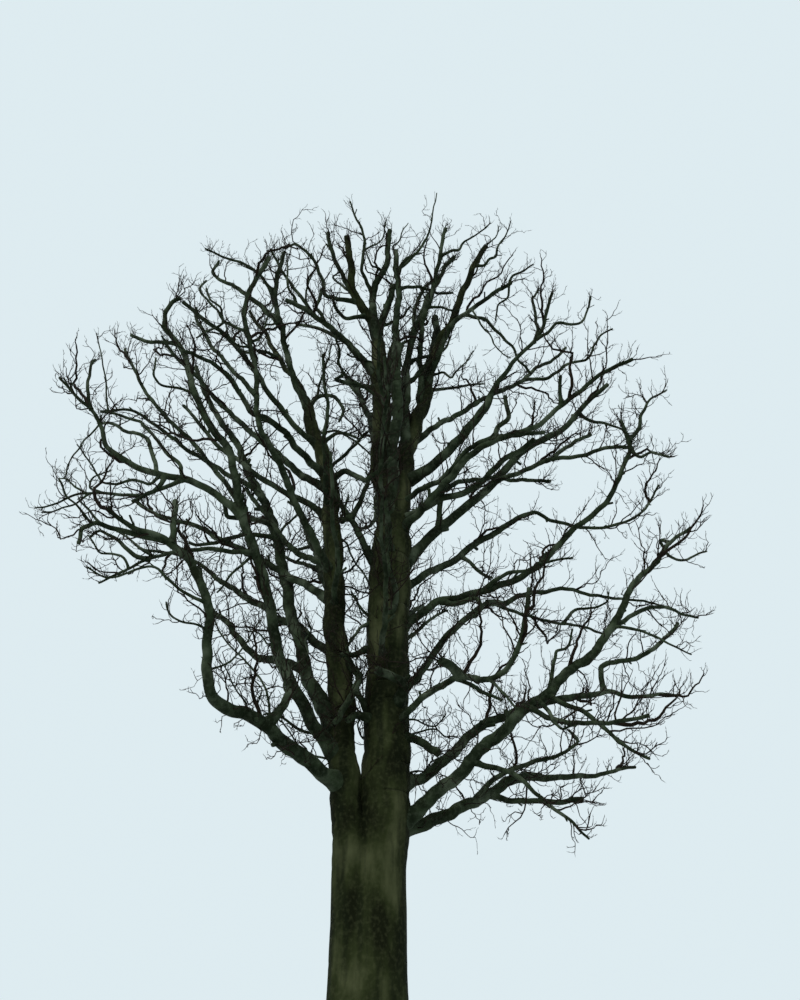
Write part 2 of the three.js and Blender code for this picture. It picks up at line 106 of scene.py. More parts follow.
# Limbs, in millimetres. A limb leaves its parent so far along it, or goes on from its end where
# no such length is given. It is a chain of legs, each so far right and so far up, and the whole
# limb goes so far back (or forward, when negative). Girth and tip are its two diameters.
# name, parent or root, along, depth, girth, tip, legs
STEMS = [
    ("stem_left", (-350, -60, 4000), None, -150, 590, 300,
     [(-270, 2350), (-200, 2000), (-200, 2900), (-400, 2100), (-400, 1600)]),
    ("stem_main", (180, 40, 4000), None, 100, 900, 870, [(90, 2300), (0, 2100), (100, 3300)]),
    ("leader_mid", "stem_main", 7300, -300, 570, 380,
     [(-230, 1300), (0, 1500), (-100, 1200), (-100, 1900)]),
    ("leader_right", "stem_main", 7300, 500, 530, 300,
     [(250, 1400), (200, 1200), (300, 1100), (200, 1300)]),
]
BOUGHS = [
    ("bough_low_right", "trunk", 4500, -1200, 280, 150,
     [(1400, 900), (950, 850), (950, 700), (850, 650), (600, 650)]),
    ("bough_level", "trunk", 4300, 2400, 240, 190, [(1700, 900), (1000, 700), (1200, 300)]),
    ("bough_low_right_back", "stem_main", 1080, 1600, 220, 130,
     [(850, 700), (1000, 1050), (1700, 700), (1250, 350)]),
    ("bough_low_left", "stem_left", 1400, -2800, 290, 190,
     [(-600, 200), (-500, 300), (-600, 200), (-400, 100)]),
    ("bough_low_left_rising", "bough_low_left", None, -600, 180, 130,
     [(-100, 700), (0, 700), (-400, 800), (-400, 300)]),
    ("bough_left_front", "stem_left", 1770, -1700, 260, 170,
     [(-600, 700), (-500, 800), (-400, 1400), (-500, 1300), (-300, 1000)]),
    ("bough_left_far", "bough_left_front", 5400, -600, 160, 120, [(-900, 700), (-1000, 100), (-1000, 500)]),
    ("bough_left_inner", "stem_left", 2270, 1200, 300, 210,
     [(-800, 1500), (-500, 1600), (-400, 1700), (-700, 1800)]),
    ("bough_left_mid", "stem_left", 3970, 2600, 190, 140, [(-900, 1100), (-1000, 900), (-1400, 1200)]),
    ("bough_upper_front", "stem_left", 5870, -2000, 180, 120, [(-500, 700), (-500, 900), (-700, 1100)]),
    ("bough_upper_back", "stem_left", 8070, 800, 180, 120, [(-800, 700), (-1300, 1400), (-1100, 1300)]),
    ("bough_dipping", "stem_main", 2480, -2800, 140, 110, [(1000, 600), (350, -150), (400, -450)]),
    ("bough_right_back", "stem_main", 2980, 1600, 170, 130, [(900, 1200), (800, 1200), (700, 800)]),
    ("bough_right_front", "stem_main", 4380, -1000, 180, 120,
     [(1000, 800), (900, 100), (1200, 400), (1000, 1000)]),
    ("bough_right_mid", "stem_main", 5280, 1400, 180, 140, [(900, 1000), (1100, 1000), (1600, 1300)]),
    ("bough_right_high", "stem_main", 5780, 800, 250, 190, [(900, 1300), (900, 1000), (1000, 1200)]),
    ("bough_upper_right", "leader_right", 1200, -300, 260, 190, [(900, 600), (750, 900), (750, 1400)]),
    ("bough_upper_right_front", "stem_main", 6880, -2200, 190, 130,
     [(1200, 1000), (900, 600), (1100, -100)]),
]
TWIG_LIMBS = [
    ("twigs_low_left", "bough_low_left_rising", None, -500, 130, 60, [(-600, 100), (-400, 300)]),
    ("twigs_left_front", "bough_left_front", None, -700, 170, 120,
     [(-200, 900), (-800, 1100), (-500, 1400), (-500, 600)]),
    ("twigs_left_front_side", "bough_left_front", 5700, 900, 110, 70,
     [(-1200, 1700), (-1300, 1500), (-1100, 2000)]),
    ("twigs_left_far", "bough_left_far", None, -400, 100, 50, [(-300, 800), (-900, 800)]),
    ("twigs_left_inner", "bough_left_inner", None, 400, 200, 120,
     [(-800, 1800), (-900, 1400), (-600, 1400)]),
    ("twigs_left_mid", "bough_left_mid", None, 1000, 120, 70, [(-1100, 1000), (-1500, 500)]),
    ("twigs_left_cross", "stem_left", 5270, 1600, 190, 80,
     [(-800, 700), (-1200, 900), (-1600, 1100), (-1700, 900)]),
    ("twigs_upper_front", "bough_upper_front", None, -700, 120, 110,
     [(-300, 2200), (-250, 850), (100, 600), (200, 450), (250, 400)]),
    ("twigs_upper_back", "bough_upper_back", None, -500, 120, 90, [(-700, 800), (-800, 800)]),
    ("twigs_upper_crossing", "stem_left", 9270, -2200, 150, 90,
     [(-1200, 1100), (-1000, 1200), (-1000, 400)]),
    ("twigs_stem_tip_left", "stem_left", None, 1000, 160, 90, [(-700, 1300), (-600, 1400), (-700, 1300)]),
    ("twigs_stem_tip_mid", "stem_left", 10570, -1200, 170, 110,
     [(-500, 1100), (-200, 900), (-300, 1200), (200, 1200)]),
    ("twigs_low_right", "bough_low_right", None, -500, 150, 60, [(500, 850), (650, 650), (500, 350)]),
    ("twigs_low_right_back", "bough_low_right_back", None, 800, 110, 70, [(900, 0), (1050, 200)]),
    ("twigs_low_right_front", "bough_low_right", 3800, -2600, 110, 60,
     [(550, -600), (400, -300), (450, -150)]),
    ("twigs_dipping", "bough_dipping", None, -1000, 100, 70, [(350, 150), (200, 400), (100, 650)]),
    ("twigs_right_back", "bough_right_back", None, 2000, 90, 60, [(1000, -100), (1000, 100), (1200, 0)]),
    ("twigs_right_front", "bough_right_front", None, -700, 120, 90, [(700, 500), (600, 1200), (-200, 600)]),
    ("twigs_right_mid", "bough_right_mid", None, 200, 100, 50,
     [(400, -300), (1300, -200), (1100, 500), (600, 900)]),
    ("twigs_right_high", "bough_right_high", None, 400, 190, 120, [(700, 900), (1100, 700), (1400, 1700)]),
    ("twigs_right_high_front", "bough_right_high", 4200, -1800, 130, 80,
     [(800, 0), (1100, -100), (1000, -200)]),
    ("twigs_upper_right", "bough_upper_right", None, -700, 120, 80, [(500, 700), (700, 600), (400, 1300)]),
    ("twigs_upper_right_front", "bough_upper_right_front", None, -1000, 110, 80,
     [(900, 700), (400, 200), (600, 100)]),
    ("twigs_top_right_side", "leader_right", 2400, 2200, 160, 90,
     [(800, 1100), (1100, 1100), (1000, 900), (900, 1200), (1100, 1200)]),
    ("twigs_level", "bough_level", None, 1400, 130, 70, [(1000, 200), (1200, 400)]),
    ("twigs_top_left", "leader_mid", None, -1200, 270, 160, [(-600, 900), (-100, 700), (-100, 800)]),
    ("twigs_top_mid", "leader_mid", 5400, -800, 220, 140, [(-200, 1500), (400, 900), (100, 1200)]),
    ("twigs_top_front", "leader_mid", 4300, -1600, 200, 110, [(-1000, 900), (-600, 200), (-700, 0)]),
    ("twigs_top_centre", "leader_mid", 2800, -900, 230, 140, [(300, 2400), (100, 1200), (-100, 1800)]),
    ("twigs_top_back", "leader_right", 2500, 800, 170, 100, [(-100, 2500), (300, 3000), (600, 1400)]),
    ("twigs_top_right", "leader_right", None, -1600, 240, 140, [(300, 800), (500, 800), (800, 1800)]),
    ("twigs_top_far_right", "leader_right", 4700, -2600, 160, 90, [(600, 1400), (900, 100), (500, -400)]),
    ("twigs_top_high", "leader_right", 3800, -1600, 170, 100, [(0, 2500), (400, 1200), (300, 1500)]),
    ("twigs_back_low", "stem_main", 3280, 5000, 210, 110, [(100, 1800), (300, 1500), (500, 1100)]),
    ("twigs_back_left", "stem_left", 5270, 4600, 210, 110, [(-500, 1500), (-400, 1600), (-500, 1700)]),
    ("twigs_back_mid", "stem_main", 5580, 4800, 220, 110, [(-100, 2400), (-300, 2300), (-200, 2200)]),
    ("twigs_back_high", "leader_mid", 1900, 4000, 210, 110, [(-300, 2200), (-400, 2100), (-500, 1800)]),
]
# The share of a limb that has no twigs, where it isn't the rule's own.
BARE_SHARES = {
    "twigs_left_cross": 0.45, "twigs_top_right_side": 0.4, "twigs_top_back": 0.35,
    "twigs_back_low": 0.4, "twigs_back_left": 0.4, "twigs_back_mid": 0.45, "twigs_back_high": 0.4,
}
# Lesser limbs, within the space of the masses: side limbs, posts and stubs left by pruning,
# crossings, thin nets between the limbs, and limbs that go back or forward to fill the crown.
LESSER_LIMBS = [
    ("left_rise", "stem_left", 8500, -3000, 180, 70,
     [(-700, 400), (-400, 300), (-600, 0), (-500, 700), (-300, -100), (-400, -200)]),
    ("left_high", "stem_left", 7200, 400, 160, 80,
     [(-700, 700), (-700, 400), (-900, 800), (-800, 700), (-900, 1200)]),
    ("left_cross_low", "stem_left", 6100, 1200, 150, 100,
     [(-800, 500), (-500, 600), (-600, 1000), (-500, 800)]),
    ("left_fan", "twigs_upper_front", 800, 1000, 110, 80,
     [(-700, 1000), (-600, 900), (-600, 1200), (-200, 700)]),
    ("left_long", "bough_left_inner", 7200, -1200, 140, 60,
     [(-700, 300), (-1200, 700), (-600, 400), (-800, 500), (-600, -300)]),
    ("left_whip", "left_long", 4500, -500, 50, 30, [(-100, 700), (-500, 1500)]),
    ("left_far_up", "twigs_left_far", 1000, 300, 80, 60, [(-300, 800), (-100, 500), (0, 400)]),
    ("left_tuft", "bough_left_front", 4600, -1200, 110, 40,
     [(-500, -100), (-600, -100), (-700, -300), (-500, -500), (-200, -300)]),
    ("left_hook", "bough_low_left_rising", 2900, -500, 110, 70,
     [(-500, 50), (-400, 50), (-300, 50), (-150, -150), (50, -350)]),
    ("left_post", "bough_low_left_rising", 2800, 300, 120, 110, [(-100, 600), (-100, 500)]),
    ("left_curl", "bough_left_inner", 1800, 2400, 170, 100,
     [(-700, 400), (-600, 300), (-700, 1000), (-500, 400), (-700, 1600)]),
    ("low_left_fork", "bough_low_left", 2200, 500, 170, 140, [(300, 500), (0, 500)]),
    ("low_left_thin", "bough_low_left_rising", 1500, -900, 70, 30,
     [(-400, 100), (-500, 400), (-600, -400), (-300, 100)]),
    ("left_front_tip", "twigs_left_front", 4600, -200, 110, 90, [(0, 300), (100, 300), (200, 100)]),
    ("left_front_spur", "twigs_left_front", 4000, 600, 100, 80, [(-800, 400), (-600, 500)]),
    ("left_front_hook", "twigs_left_front", 2600, -800, 70, 40, [(-700, 0), (-100, 100), (100, 200)]),
    ("left_arch", "twigs_stem_tip_mid", 2400, 200, 160, 70,
     [(-700, 1000), (-700, 700), (-700, 500), (100, 600)]),
    ("left_arch_high", "twigs_stem_tip_mid", 3200, -800, 100, 50, [(-400, 700), (-500, 200), (-900, 200)]),
    ("top_arch", "twigs_top_left", 1000, -800, 130, 60,
     [(-900, 0), (0, 400), (-300, 700), (-500, 500), (-300, -400)]),
    ("top_side", "twigs_top_left", 1200, -400, 130, 110, [(-400, 800), (-300, 900), (-100, 400)]),
    ("top_front_fork", "twigs_top_front", 2300, -600, 100, 60, [(-600, 800), (-400, 700), (-200, 300)]),
    ("top_curl", "leader_mid", 3600, -1200, 100, 50, [(-900, 500), (-200, 200), (100, 100), (-100, 200)]),
    ("top_mid_left", "twigs_top_mid", 1600, -1200, 110, 50,
     [(-300, 600), (100, 900), (-300, 700), (-100, 200)]),
    ("top_post", "leader_mid", 5700, -500, 200, 160, [(200, 600), (200, 800)]),
    ("top_thin_stem", "leader_right", 1500, -400, 220, 110,
     [(100, 2300), (0, 1300), (300, 1300), (800, 2100), (300, 400)]),
    ("top_centre_spur", "twigs_top_centre", 4700, -300, 110, 70, [(200, 400), (300, 100)]),
    ("top_right_post", "leader_right", 4800, 400, 210, 190, [(200, 1500), (100, 1500)]),
    ("top_lateral", "leader_right", 4600, 1200, 110, 50, [(700, 600), (1000, 700)]),
    ("right_top_fork", "twigs_top_right_side", 5300, -600, 110, 50,
     [(600, -100), (700, 500), (500, 0), (500, 900), (300, 100)]),
    ("right_top_hook", "twigs_upper_right", 1700, 600, 100, 60, [(100, 900), (0, 1000), (300, 700)]),
    ("right_front_spur", "twigs_upper_right_front", 700, -300, 100, 70, [(0, 600)]),
    ("right_high_back", "bough_right_high", 4300, 800, 110, 90, [(400, 200), (1100, 300)]),
    ("right_high_spur", "twigs_right_high_front", 1600, 600, 110, 90, [(500, 600), (700, 600)]),
    ("right_high_low", "bough_upper_right_front", 1500, 1000, 130, 90, [(800, 700), (700, 400)]),
    ("right_mid_low", "bough_right_mid", 2500, -800, 110, 60, [(400, -700), (200, -300)]),
    ("right_front_twist", "bough_right_front", 1400, -1200, 130, 60,
     [(400, -200), (300, 0), (100, -400), (-200, -300)]),
    ("dipping_cut", "bough_dipping", 2550, -400, 180, 160, [(-200, 100), (-150, 0)]),
    ("dipping_low", "bough_dipping", 3600, -600, 60, 40, [(200, -350), (150, -350)]),
    ("right_lateral", "bough_right_back", 4200, 1600, 140, 50,
     [(500, 100), (600, 400), (1000, 300), (1000, -100), (900, 0), (700, 0)]),
    ("low_right_up", "bough_low_right", 4300, 500, 90, 40,
     [(150, 550), (100, 350), (250, 100), (200, 500)]),
    ("low_right_knee", "bough_low_right_back", 5850, 1000, 130, 90,
     [(150, 750), (900, 200), (750, 550), (550, 600)]),
    ("low_right_top", "bough_low_right", 5950, 1200, 110, 50, [(800, 650), (750, 250), (700, -50)]),
    ("low_right_drop", "bough_low_right", 6100, -600, 70, 30, [(450, -200), (300, -300), (400, -350)]),
    ("low_right_hang", "bough_low_right", 4200, -1500, 110, 50,
     [(500, -400), (200, -400), (250, -450), (350, -400)]),
    ("level_front", "bough_level", 3000, -800, 120, 100, [(400, -200), (500, 0), (500, -100), (300, 0)]),
    ("level_moss", "bough_level", 2500, 800, 120, 60,
     [(600, 600), (700, 300), (700, 200), (400, 300), (-200, 300)]),
    ("low_right_sweep", "bough_low_right", 2300, -1200, 110, 40,
     [(650, -250), (450, -550), (400, -400), (250, -400)]),
    ("main_cut_low", "stem_main", 2400, -600, 160, 150, [(700, -200), (300, -300)]),
    ("main_cut_front", "stem_main", 2600, -1000, 220, 150,
     [(200, 350), (150, 350), (-250, 50), (-250, 50)]),
    ("main_cut_left", "stem_main", 2600, -700, 180, 130, [(-500, 100), (-200, -200)]),
    ("main_climber", "stem_main", 3800, -1000, 140, 90,
     [(-200, 400), (200, 600), (200, 300), (-200, 700), (0, 1300)]),
    ("left_stem_curl", "stem_left", 4100, -900, 160, 110,
     [(500, -500), (-100, -500), (-200, -500), (-100, -200)]),
    ("between_stems", "stem_main", 5800, -600, 180, 110, [(-500, 600), (-350, 750), (-400, 600)]),
    ("between_stems_up", "between_stems", 1700, 400, 130, 90, [(300, 900), (200, 900)]),
    ("left_stem_side", "stem_left", 9400, -800, 110, 50, [(400, 200), (300, -200), (300, -400)]),
    ("left_web_high", "bough_left_far", 2000, 400, 70, 30,
     [(-200, -200), (-400, 200), (-300, -100), (-400, 100), (-200, 300), (-600, 800)]),
    ("left_web_knot", "bough_left_far", 1900, -400, 110, 70, [(-100, -400), (-100, -200), (-200, -300)]),
    ("left_sweep", "bough_left_far", 1500, -800, 100, 30,
     [(-400, -300), (-300, -300), (-500, 0), (-700, -100), (-500, -400), (-100, -100)]),
    ("left_second", "bough_left_far", 1500, 800, 90, 60,
     [(-200, 500), (-400, 400), (-500, 700), (-300, 400), (-400, 200), (-700, 300)]),
    ("left_third", "bough_left_far", 2100, 1400, 100, 70,
     [(-300, 800), (-300, 600), (-600, 400), (-400, 400), (-500, 300)]),
    ("left_web_low", "left_tuft", 2000, -200, 70, 30, [(-200, 100), (-250, 200), (-350, 200)]),
    ("left_web_front", "left_tuft", 2100, 300, 100, 50,
     [(-300, 100), (-400, 400), (-450, 300), (-200, -150)]),
    ("left_web_thin", "left_tuft", 2500, -500, 60, 30,
     [(-150, 200), (-150, 0), (-200, -50), (-100, 150), (-100, 100)]),
    ("left_inner_side", "bough_left_front", 4600, 600, 70, 40, [(-300, -200), (-300, -200), (-200, -200)]),
    ("left_mid_crook", "bough_left_inner", 5900, -1000, 140, 90, [(-500, 0), (-500, -200), (0, 200)]),
    ("top_low_arm", "twigs_top_front", 700, 1000, 150, 80, [(-400, 900), (-600, 700), (-900, 600)]),
    ("stem_curl_high", "stem_left", 10700, -1000, 110, 60,
     [(300, 100), (400, -200), (300, -600), (-100, -600)]),
    ("top_far_crook", "twigs_top_far_right", 2300, 1000, 100, 60,
     [(600, 0), (200, -200), (500, -400), (100, -300), (400, -300)]),
    ("top_far_tip", "twigs_top_far_right", 4000, -300, 70, 40, [(100, 200), (200, 0), (300, 200)]),
    ("right_top_outer", "twigs_upper_right", 1700, -600, 90, 50,
     [(300, 100), (200, 200), (600, -200), (300, 800)]),
    ("right_end_fan", "twigs_right_front", 2400, 900, 110, 40,
     [(400, 600), (200, 600), (300, 600), (600, 500)]),
    ("right_end_low", "twigs_right_front", 2300, -700, 90, 40, [(100, -500), (200, 0), (200, -300)]),
    ("right_end_cross", "twigs_right_high", 3200, 800, 110, 40,
     [(400, -100), (500, 100), (400, 0), (400, -300)]),
    ("low_right_curl", "twigs_low_right", 2050, 1000, 80, 40,
     [(-100, 250), (200, -250), (400, 0), (650, 400)]),
    ("low_right_web", "bough_low_right", 4000, -1600, 100, 30,
     [(100, -350), (0, -350), (50, -250), (150, -50)]),
    ("right_web", "bough_right_front", 2400, -1400, 100, 40,
     [(400, 200), (400, -100), (400, 0), (400, -100)]),
    ("right_cross_curl", "twigs_right_back", 2400, -600, 90, 40,
     [(300, 300), (500, 0), (300, 100), (0, 200)]),
    ("dipping_side", "bough_dipping", 2350, 500, 90, 60, [(350, -100), (300, -100), (200, -50)]),
    ("main_left_arm", "stem_main", 4300, -700, 150, 100, [(-500, -200), (-200, -200), (-200, -100)]),
    ("between_low", "stem_main", 2800, -500, 140, 100, [(-400, 100), (-200, 300), (100, 300)]),
    ("between_mid", "stem_main", 5000, -700, 80, 50, [(-600, -400), (-200, -500), (-100, -300)]),
    ("top_net", "twigs_top_centre", 4200, 600, 100, 70,
     [(200, 250), (350, 150), (350, 0), (200, 0), (400, 150)]),
    ("top_net_low", "twigs_top_high", 3150, -300, 90, 40, [(400, -150), (150, -200), (250, -100)]),
    ("top_whip_tall", "twigs_top_centre", 4850, -900, 90, 30,
     [(300, 200), (250, 150), (300, 500), (100, 500), (50, 350), (100, 400)]),
    ("top_curl_right", "twigs_top_high", 4700, -500, 90, 30,
     [(350, 100), (200, -100), (100, 250), (200, 0), (550, 500)]),
    ("top_whip_right", "twigs_top_right", 3450, -400, 90, 30,
     [(250, -100), (150, 200), (200, 0), (50, 350), (400, 900)]),
    ("top_whip_post", "twigs_top_right", 4100, 200, 50, 30, [(250, 350), (200, 600), (0, 200)]),
    ("top_fork_left", "top_mid_left", 1400, 300, 60, 30, [(250, 300), (250, 300), (50, 700), (50, 400)]),
    ("top_knot_left", "twigs_top_mid", 2350, -400, 70, 40, [(-100, 50), (-200, -100), (-150, 450)]),
    ("top_whip_mid", "twigs_top_centre", 5350, 300, 60, 30,
     [(-100, 500), (200, 350), (50, 450), (200, 500)]),
    ("top_low_web", "leader_mid", 5950, 500, 100, 60, [(400, 500), (350, 400), (150, 550)]),
    ("top_low_cross", "twigs_top_centre", 2450, 800, 100, 60, [(400, 600), (200, 750)]),
    ("top_arch_right", "twigs_top_back", 3100, -600, 120, 50,
     [(300, 100), (250, -50), (300, -50), (200, 150), (100, 300)]),
    ("top_arch_low", "twigs_top_back", 2300, -500, 140, 90, [(300, 0), (150, 150), (200, 200)]),
    ("right_fan_low", "leader_right", 5150, -800, 80, 30,
     [(400, 0), (200, -400), (100, 100), (300, 250), (150, 200)]),
    ("right_hang_thin", "twigs_top_far_right", 2500, -600, 60, 30,
     [(300, -900), (150, -450), (150, -600), (200, -350)]),
    ("right_far_thin", "twigs_top_far_right", 4050, 400, 60, 40, [(-50, -350), (-250, -50), (-50, -450)]),
    ("left_top_low", "twigs_top_front", 1750, 400, 100, 100,
     [(-300, 550), (-200, 450), (100, 500), (0, 400)]),
    ("left_top_rise", "twigs_top_front", 2550, -400, 60, 40, [(0, 850), (150, 150)]),
    ("left_top_long", "twigs_top_front", 2850, -400, 80, 30,
     [(-50, 200), (-150, 100), (-50, 400), (-50, 700)]),
    ("top_left_crook", "twigs_top_left", 1100, 500, 90, 40, [(-350, 600), (-400, 650), (300, 450)]),
    ("top_left_low", "twigs_top_left", 500, -700, 130, 70, [(-600, -350), (-250, 150), (-50, 100)]),
    ("left_upper_web", "twigs_upper_front", 2600, -500, 80, 40,
     [(-350, 100), (-150, 0), (-50, -250), (-300, -300), (-100, -250)]),
    ("left_upper_curl", "twigs_upper_front", 2200, -700, 70, 30,
     [(-200, -200), (-50, -100), (-150, 100), (-50, 200)]),
    ("left_upper_arm", "twigs_upper_front", 2000, 900, 70, 40,
     [(-350, 300), (-250, 400), (-450, 600), (-500, 300)]),
    ("left_between", "twigs_stem_tip_left", 1950, -500, 110, 60, [(-200, -100), (-250, -150)]),
    ("left_bridge", "twigs_stem_tip_mid", 2550, -600, 70, 40, [(-150, -350), (-150, -300)]),
    ("left_bridge_rise", "twigs_upper_front", 2300, 800, 70, 30,
     [(200, 400), (0, 650), (100, 700), (-100, 500)]),
    ("left_cross_high", "twigs_stem_tip_mid", 3550, -600, 70, 30,
     [(-200, 100), (-150, 150), (-150, 0), (-300, 50)]),
    ("left_hoop_rise", "stem_curl_high", 350, -300, 70, 30, [(150, 900), (100, 300), (50, 350)]),
    ("top_front_low", "leader_mid", 3950, -900, 140, 70, [(-700, -100), (-400, -150), (200, -100)]),
    ("top_front_thin", "leader_mid", 4750, -800, 80, 40, [(-550, -200), (-200, -250)]),
    ("left_hook_rise", "left_hook", 1200, 300, 50, 30, [(-250, 350), (-250, 250), (-100, 150)]),
    ("left_hook_long", "left_hook", 1300, -300, 50, 30, [(-150, 150), (-350, 300), (-100, 250), (-50, 50)]),
    ("left_loop", "left_sweep", 1750, 300, 50, 30,
     [(-300, 150), (-50, 200), (50, 200), (100, 100), (150, 100)]),
    ("left_hang", "left_third", 3700, -200, 50, 30, [(-50, -300), (-250, -600), (-100, -500), (50, -350)]),
    ("left_low_tail", "left_sweep", 2000, -300, 50, 30,
     [(-150, -300), (-200, -150), (-150, -150), (-150, -50)]),
    ("left_tip_fan", "left_sweep", 2050, 200, 50, 30, [(-300, 200), (-250, 250), (-150, 50)]),
    ("low_left_sprig", "bough_low_left_rising", 1050, -800, 50, 30, [(-400, 0), (-150, 0), (0, 100)]),
    ("net_low_left", "bough_low_left", 2100, 400, 50, 30,
     [(-100, 650), (-150, 300), (-400, 450), (-400, 400), (-250, 450)]),
    ("net_low_rise", "bough_low_left_rising", 350, 500, 40, 20,
     [(350, 200), (150, 300), (100, 350), (100, 300)]),
    ("net_low_mid", "bough_low_left", 2550, -500, 40, 20,
     [(-100, 250), (-150, 150), (-150, 250), (-150, 200)]),
    ("net_low_inner", "bough_low_left", 2300, 700, 40, 20,
     [(-150, 400), (50, 350), (-300, 300), (-200, 0)]),
    ("net_fork_thin", "low_left_fork", 850, -400, 40, 20, [(-100, 100), (50, 250), (-200, 150), (50, 200)]),
    ("net_fork_cross", "stem_left", 2350, -700, 80, 40,
     [(-650, 50), (-250, 100), (-300, 150), (-200, -100)]),
    ("net_fork_low", "stem_left", 1800, -900, 50, 30, [(-550, 100), (-250, 100), (-150, 200), (-150, 150)]),
    ("net_front_gap", "bough_left_front", 2050, -600, 50, 30,
     [(450, 350), (-100, 200), (150, 150), (-100, 200)]),
    ("net_front_side", "bough_left_front", 2450, 700, 50, 30,
     [(-50, 350), (-250, 0), (-250, 350), (-300, 100)]),
    ("net_stem_gap", "stem_main", 2150, 800, 50, 30, [(-500, 250), (-100, 350), (150, 350), (-150, 450)]),
    ("net_stem_high", "stem_left", 3100, 700, 50, 30, [(250, 300), (100, 350), (-150, 400), (150, 350)]),
    ("net_right_low", "stem_main", 2350, 1000, 50, 30, [(650, 200), (350, 150), (200, -100), (250, 100)]),
    ("net_right_web", "stem_main", 2700, 1400, 50, 30, [(600, 150), (200, 0), (250, 100), (200, 350)]),
    ("net_right_foot", "stem_main", 1500, 1200, 50, 20, [(550, 300), (200, 50), (150, 300), (300, 150)]),
    ("net_right_high", "stem_main", 3400, 1200, 50, 30, [(650, 200), (100, 450), (300, 150), (150, 400)]),
    ("back_low_side", "twigs_back_low", 2400, 1500, 120, 60, [(500, 500), (400, 600), (500, 500)]),
    ("back_low_left", "twigs_back_low", 3300, 1200, 110, 50, [(-500, 400), (-400, 600), (-300, 700)]),
    ("back_low_up", "twigs_back_low", 4300, 300, 110, 50, [(0, 900), (200, 700), (0, 600)]),
    ("back_left_side", "twigs_back_left", 2500, 1300, 120, 60, [(-500, 400), (-600, 500), (-400, 600)]),
    ("back_left_in", "twigs_back_left", 3600, 600, 110, 50, [(300, 700), (300, 900), (100, 700)]),
    ("back_left_out", "twigs_back_left", 4600, 1100, 100, 50, [(-500, 100), (-500, 300), (-300, 500)]),
    ("back_mid_side", "twigs_back_mid", 3000, 1800, 130, 60, [(500, 600), (300, 700), (200, 900)]),
    ("back_mid_low", "twigs_back_mid", 4200, 2200, 120, 50, [(-200, 200), (-300, 300), (0, 500)]),
    ("back_mid_in", "twigs_back_mid", 5200, -700, 110, 50, [(200, 900), (100, 900), (-100, 700)]),
    ("back_high_side", "twigs_back_high", 3000, 1600, 120, 60, [(400, 600), (400, 700), (200, 800)]),
    ("back_high_in", "twigs_back_high", 4400, 300, 110, 50, [(-400, 700), (-300, 800), (-100, 700)]),
    ("main_low_forward", "stem_main", 3600, -2600, 140, 60,
     [(-100, 500), (100, 700), (-100, 900), (0, 700)]),
    ("main_mid_forward", "stem_main", 6000, -3200, 140, 60, [(0, 700), (-200, 900), (100, 900), (0, 900)]),
    ("top_forward", "leader_mid", 1500, -2400, 130, 60, [(100, 800), (-200, 900), (100, 1000)]),
    ("left_low_forward", "stem_left", 5000, -2600, 130, 60, [(100, 600), (-100, 800), (0, 900)]),
    ("left_high_forward", "stem_left", 7500, -2600, 130, 60, [(-100, 700), (100, 900), (-100, 800)]),
    ("twin_main", "stem_main", 6450, -900, 290, 250,
     [(-50, 1050), (100, 1100), (50, 1050), (50, 1100), (0, 1250)]),
    ("left_over_high", "stem_left", 9800, -400, 70, 40, [(600, 50), (300, -350), (250, -300), (250, -350)]),
    ("left_over_front", "stem_left", 8400, -1200, 150, 90,
     [(400, 100), (250, -350), (200, -300), (350, 100), (250, 200)]),
    ("left_over_web", "stem_left", 8650, 500, 90, 70, [(350, 550), (300, 550), (250, 450)]),
    ("right_weave_low", "stem_main", 7150, -1600, 180, 110,
     [(500, 350), (600, 200), (450, 0), (500, 250), (200, 100), (250, 200), (400, 150), (250, 100)]),
    ("right_weave_steep", "bough_right_high", 2000, -300, 140, 100,
     [(0, 600), (50, 350), (100, 300), (250, 350), (250, 300)]),
    ("right_weave_mid", "stem_main", 7700, -1900, 140, 90,
     [(400, 200), (300, 100), (400, 100), (250, 150), (150, 150), (250, 150), (200, 0), (650, 0),
      (700, -100)]),
    ("right_knob", "bough_upper_right_front", 3250, -300, 120, 90,
     [(100, 300), (250, 200), (-50, 250), (0, 300)]),
    ("left_net_rise", "left_upper_web", 550, -200, 70, 50,
     [(-150, 300), (-250, 250), (-200, 250), (-50, 150), (150, 200)]),
    ("left_net_curl", "left_upper_web", 600, 200, 60, 50,
     [(-100, 500), (-200, 250), (-200, 250), (-100, 350)]),
    ("left_bar", "bough_left_inner", 5550, -900, 120, 70,
     [(-200, -50), (-350, -50), (-300, -150), (-200, -100), (-300, -200), (-250, -150), (-150, 0)]),
    ("left_bar_rise", "bough_left_inner", 5450, -700, 70, 50, [(150, 150), (200, 50), (200, 100)]),
    ("between_link", "between_stems", 1700, -100, 130, 130, [(-100, -50), (-100, -100)]),
    ("net_gap_long", "stem_left", 6950, 400, 60, 40,
     [(300, -150), (100, -250), (150, -250), (200, -200), (100, -200)]),
    ("net_gap_low", "stem_left", 5650, 600, 50, 40, [(300, 100), (200, 0), (200, 50)]),
    ("net_gap_cross", "stem_left", 5900, 900, 50, 40, [(300, 250), (150, 350), (100, 300), (100, 350)]),
    ("net_gap_hang", "stem_left", 5500, 300, 40, 30, [(450, 0), (50, -200), (100, -250)]),
]

# How far the middle of a leg may lie aside, as a share of the leg.
CROOK = 0.06
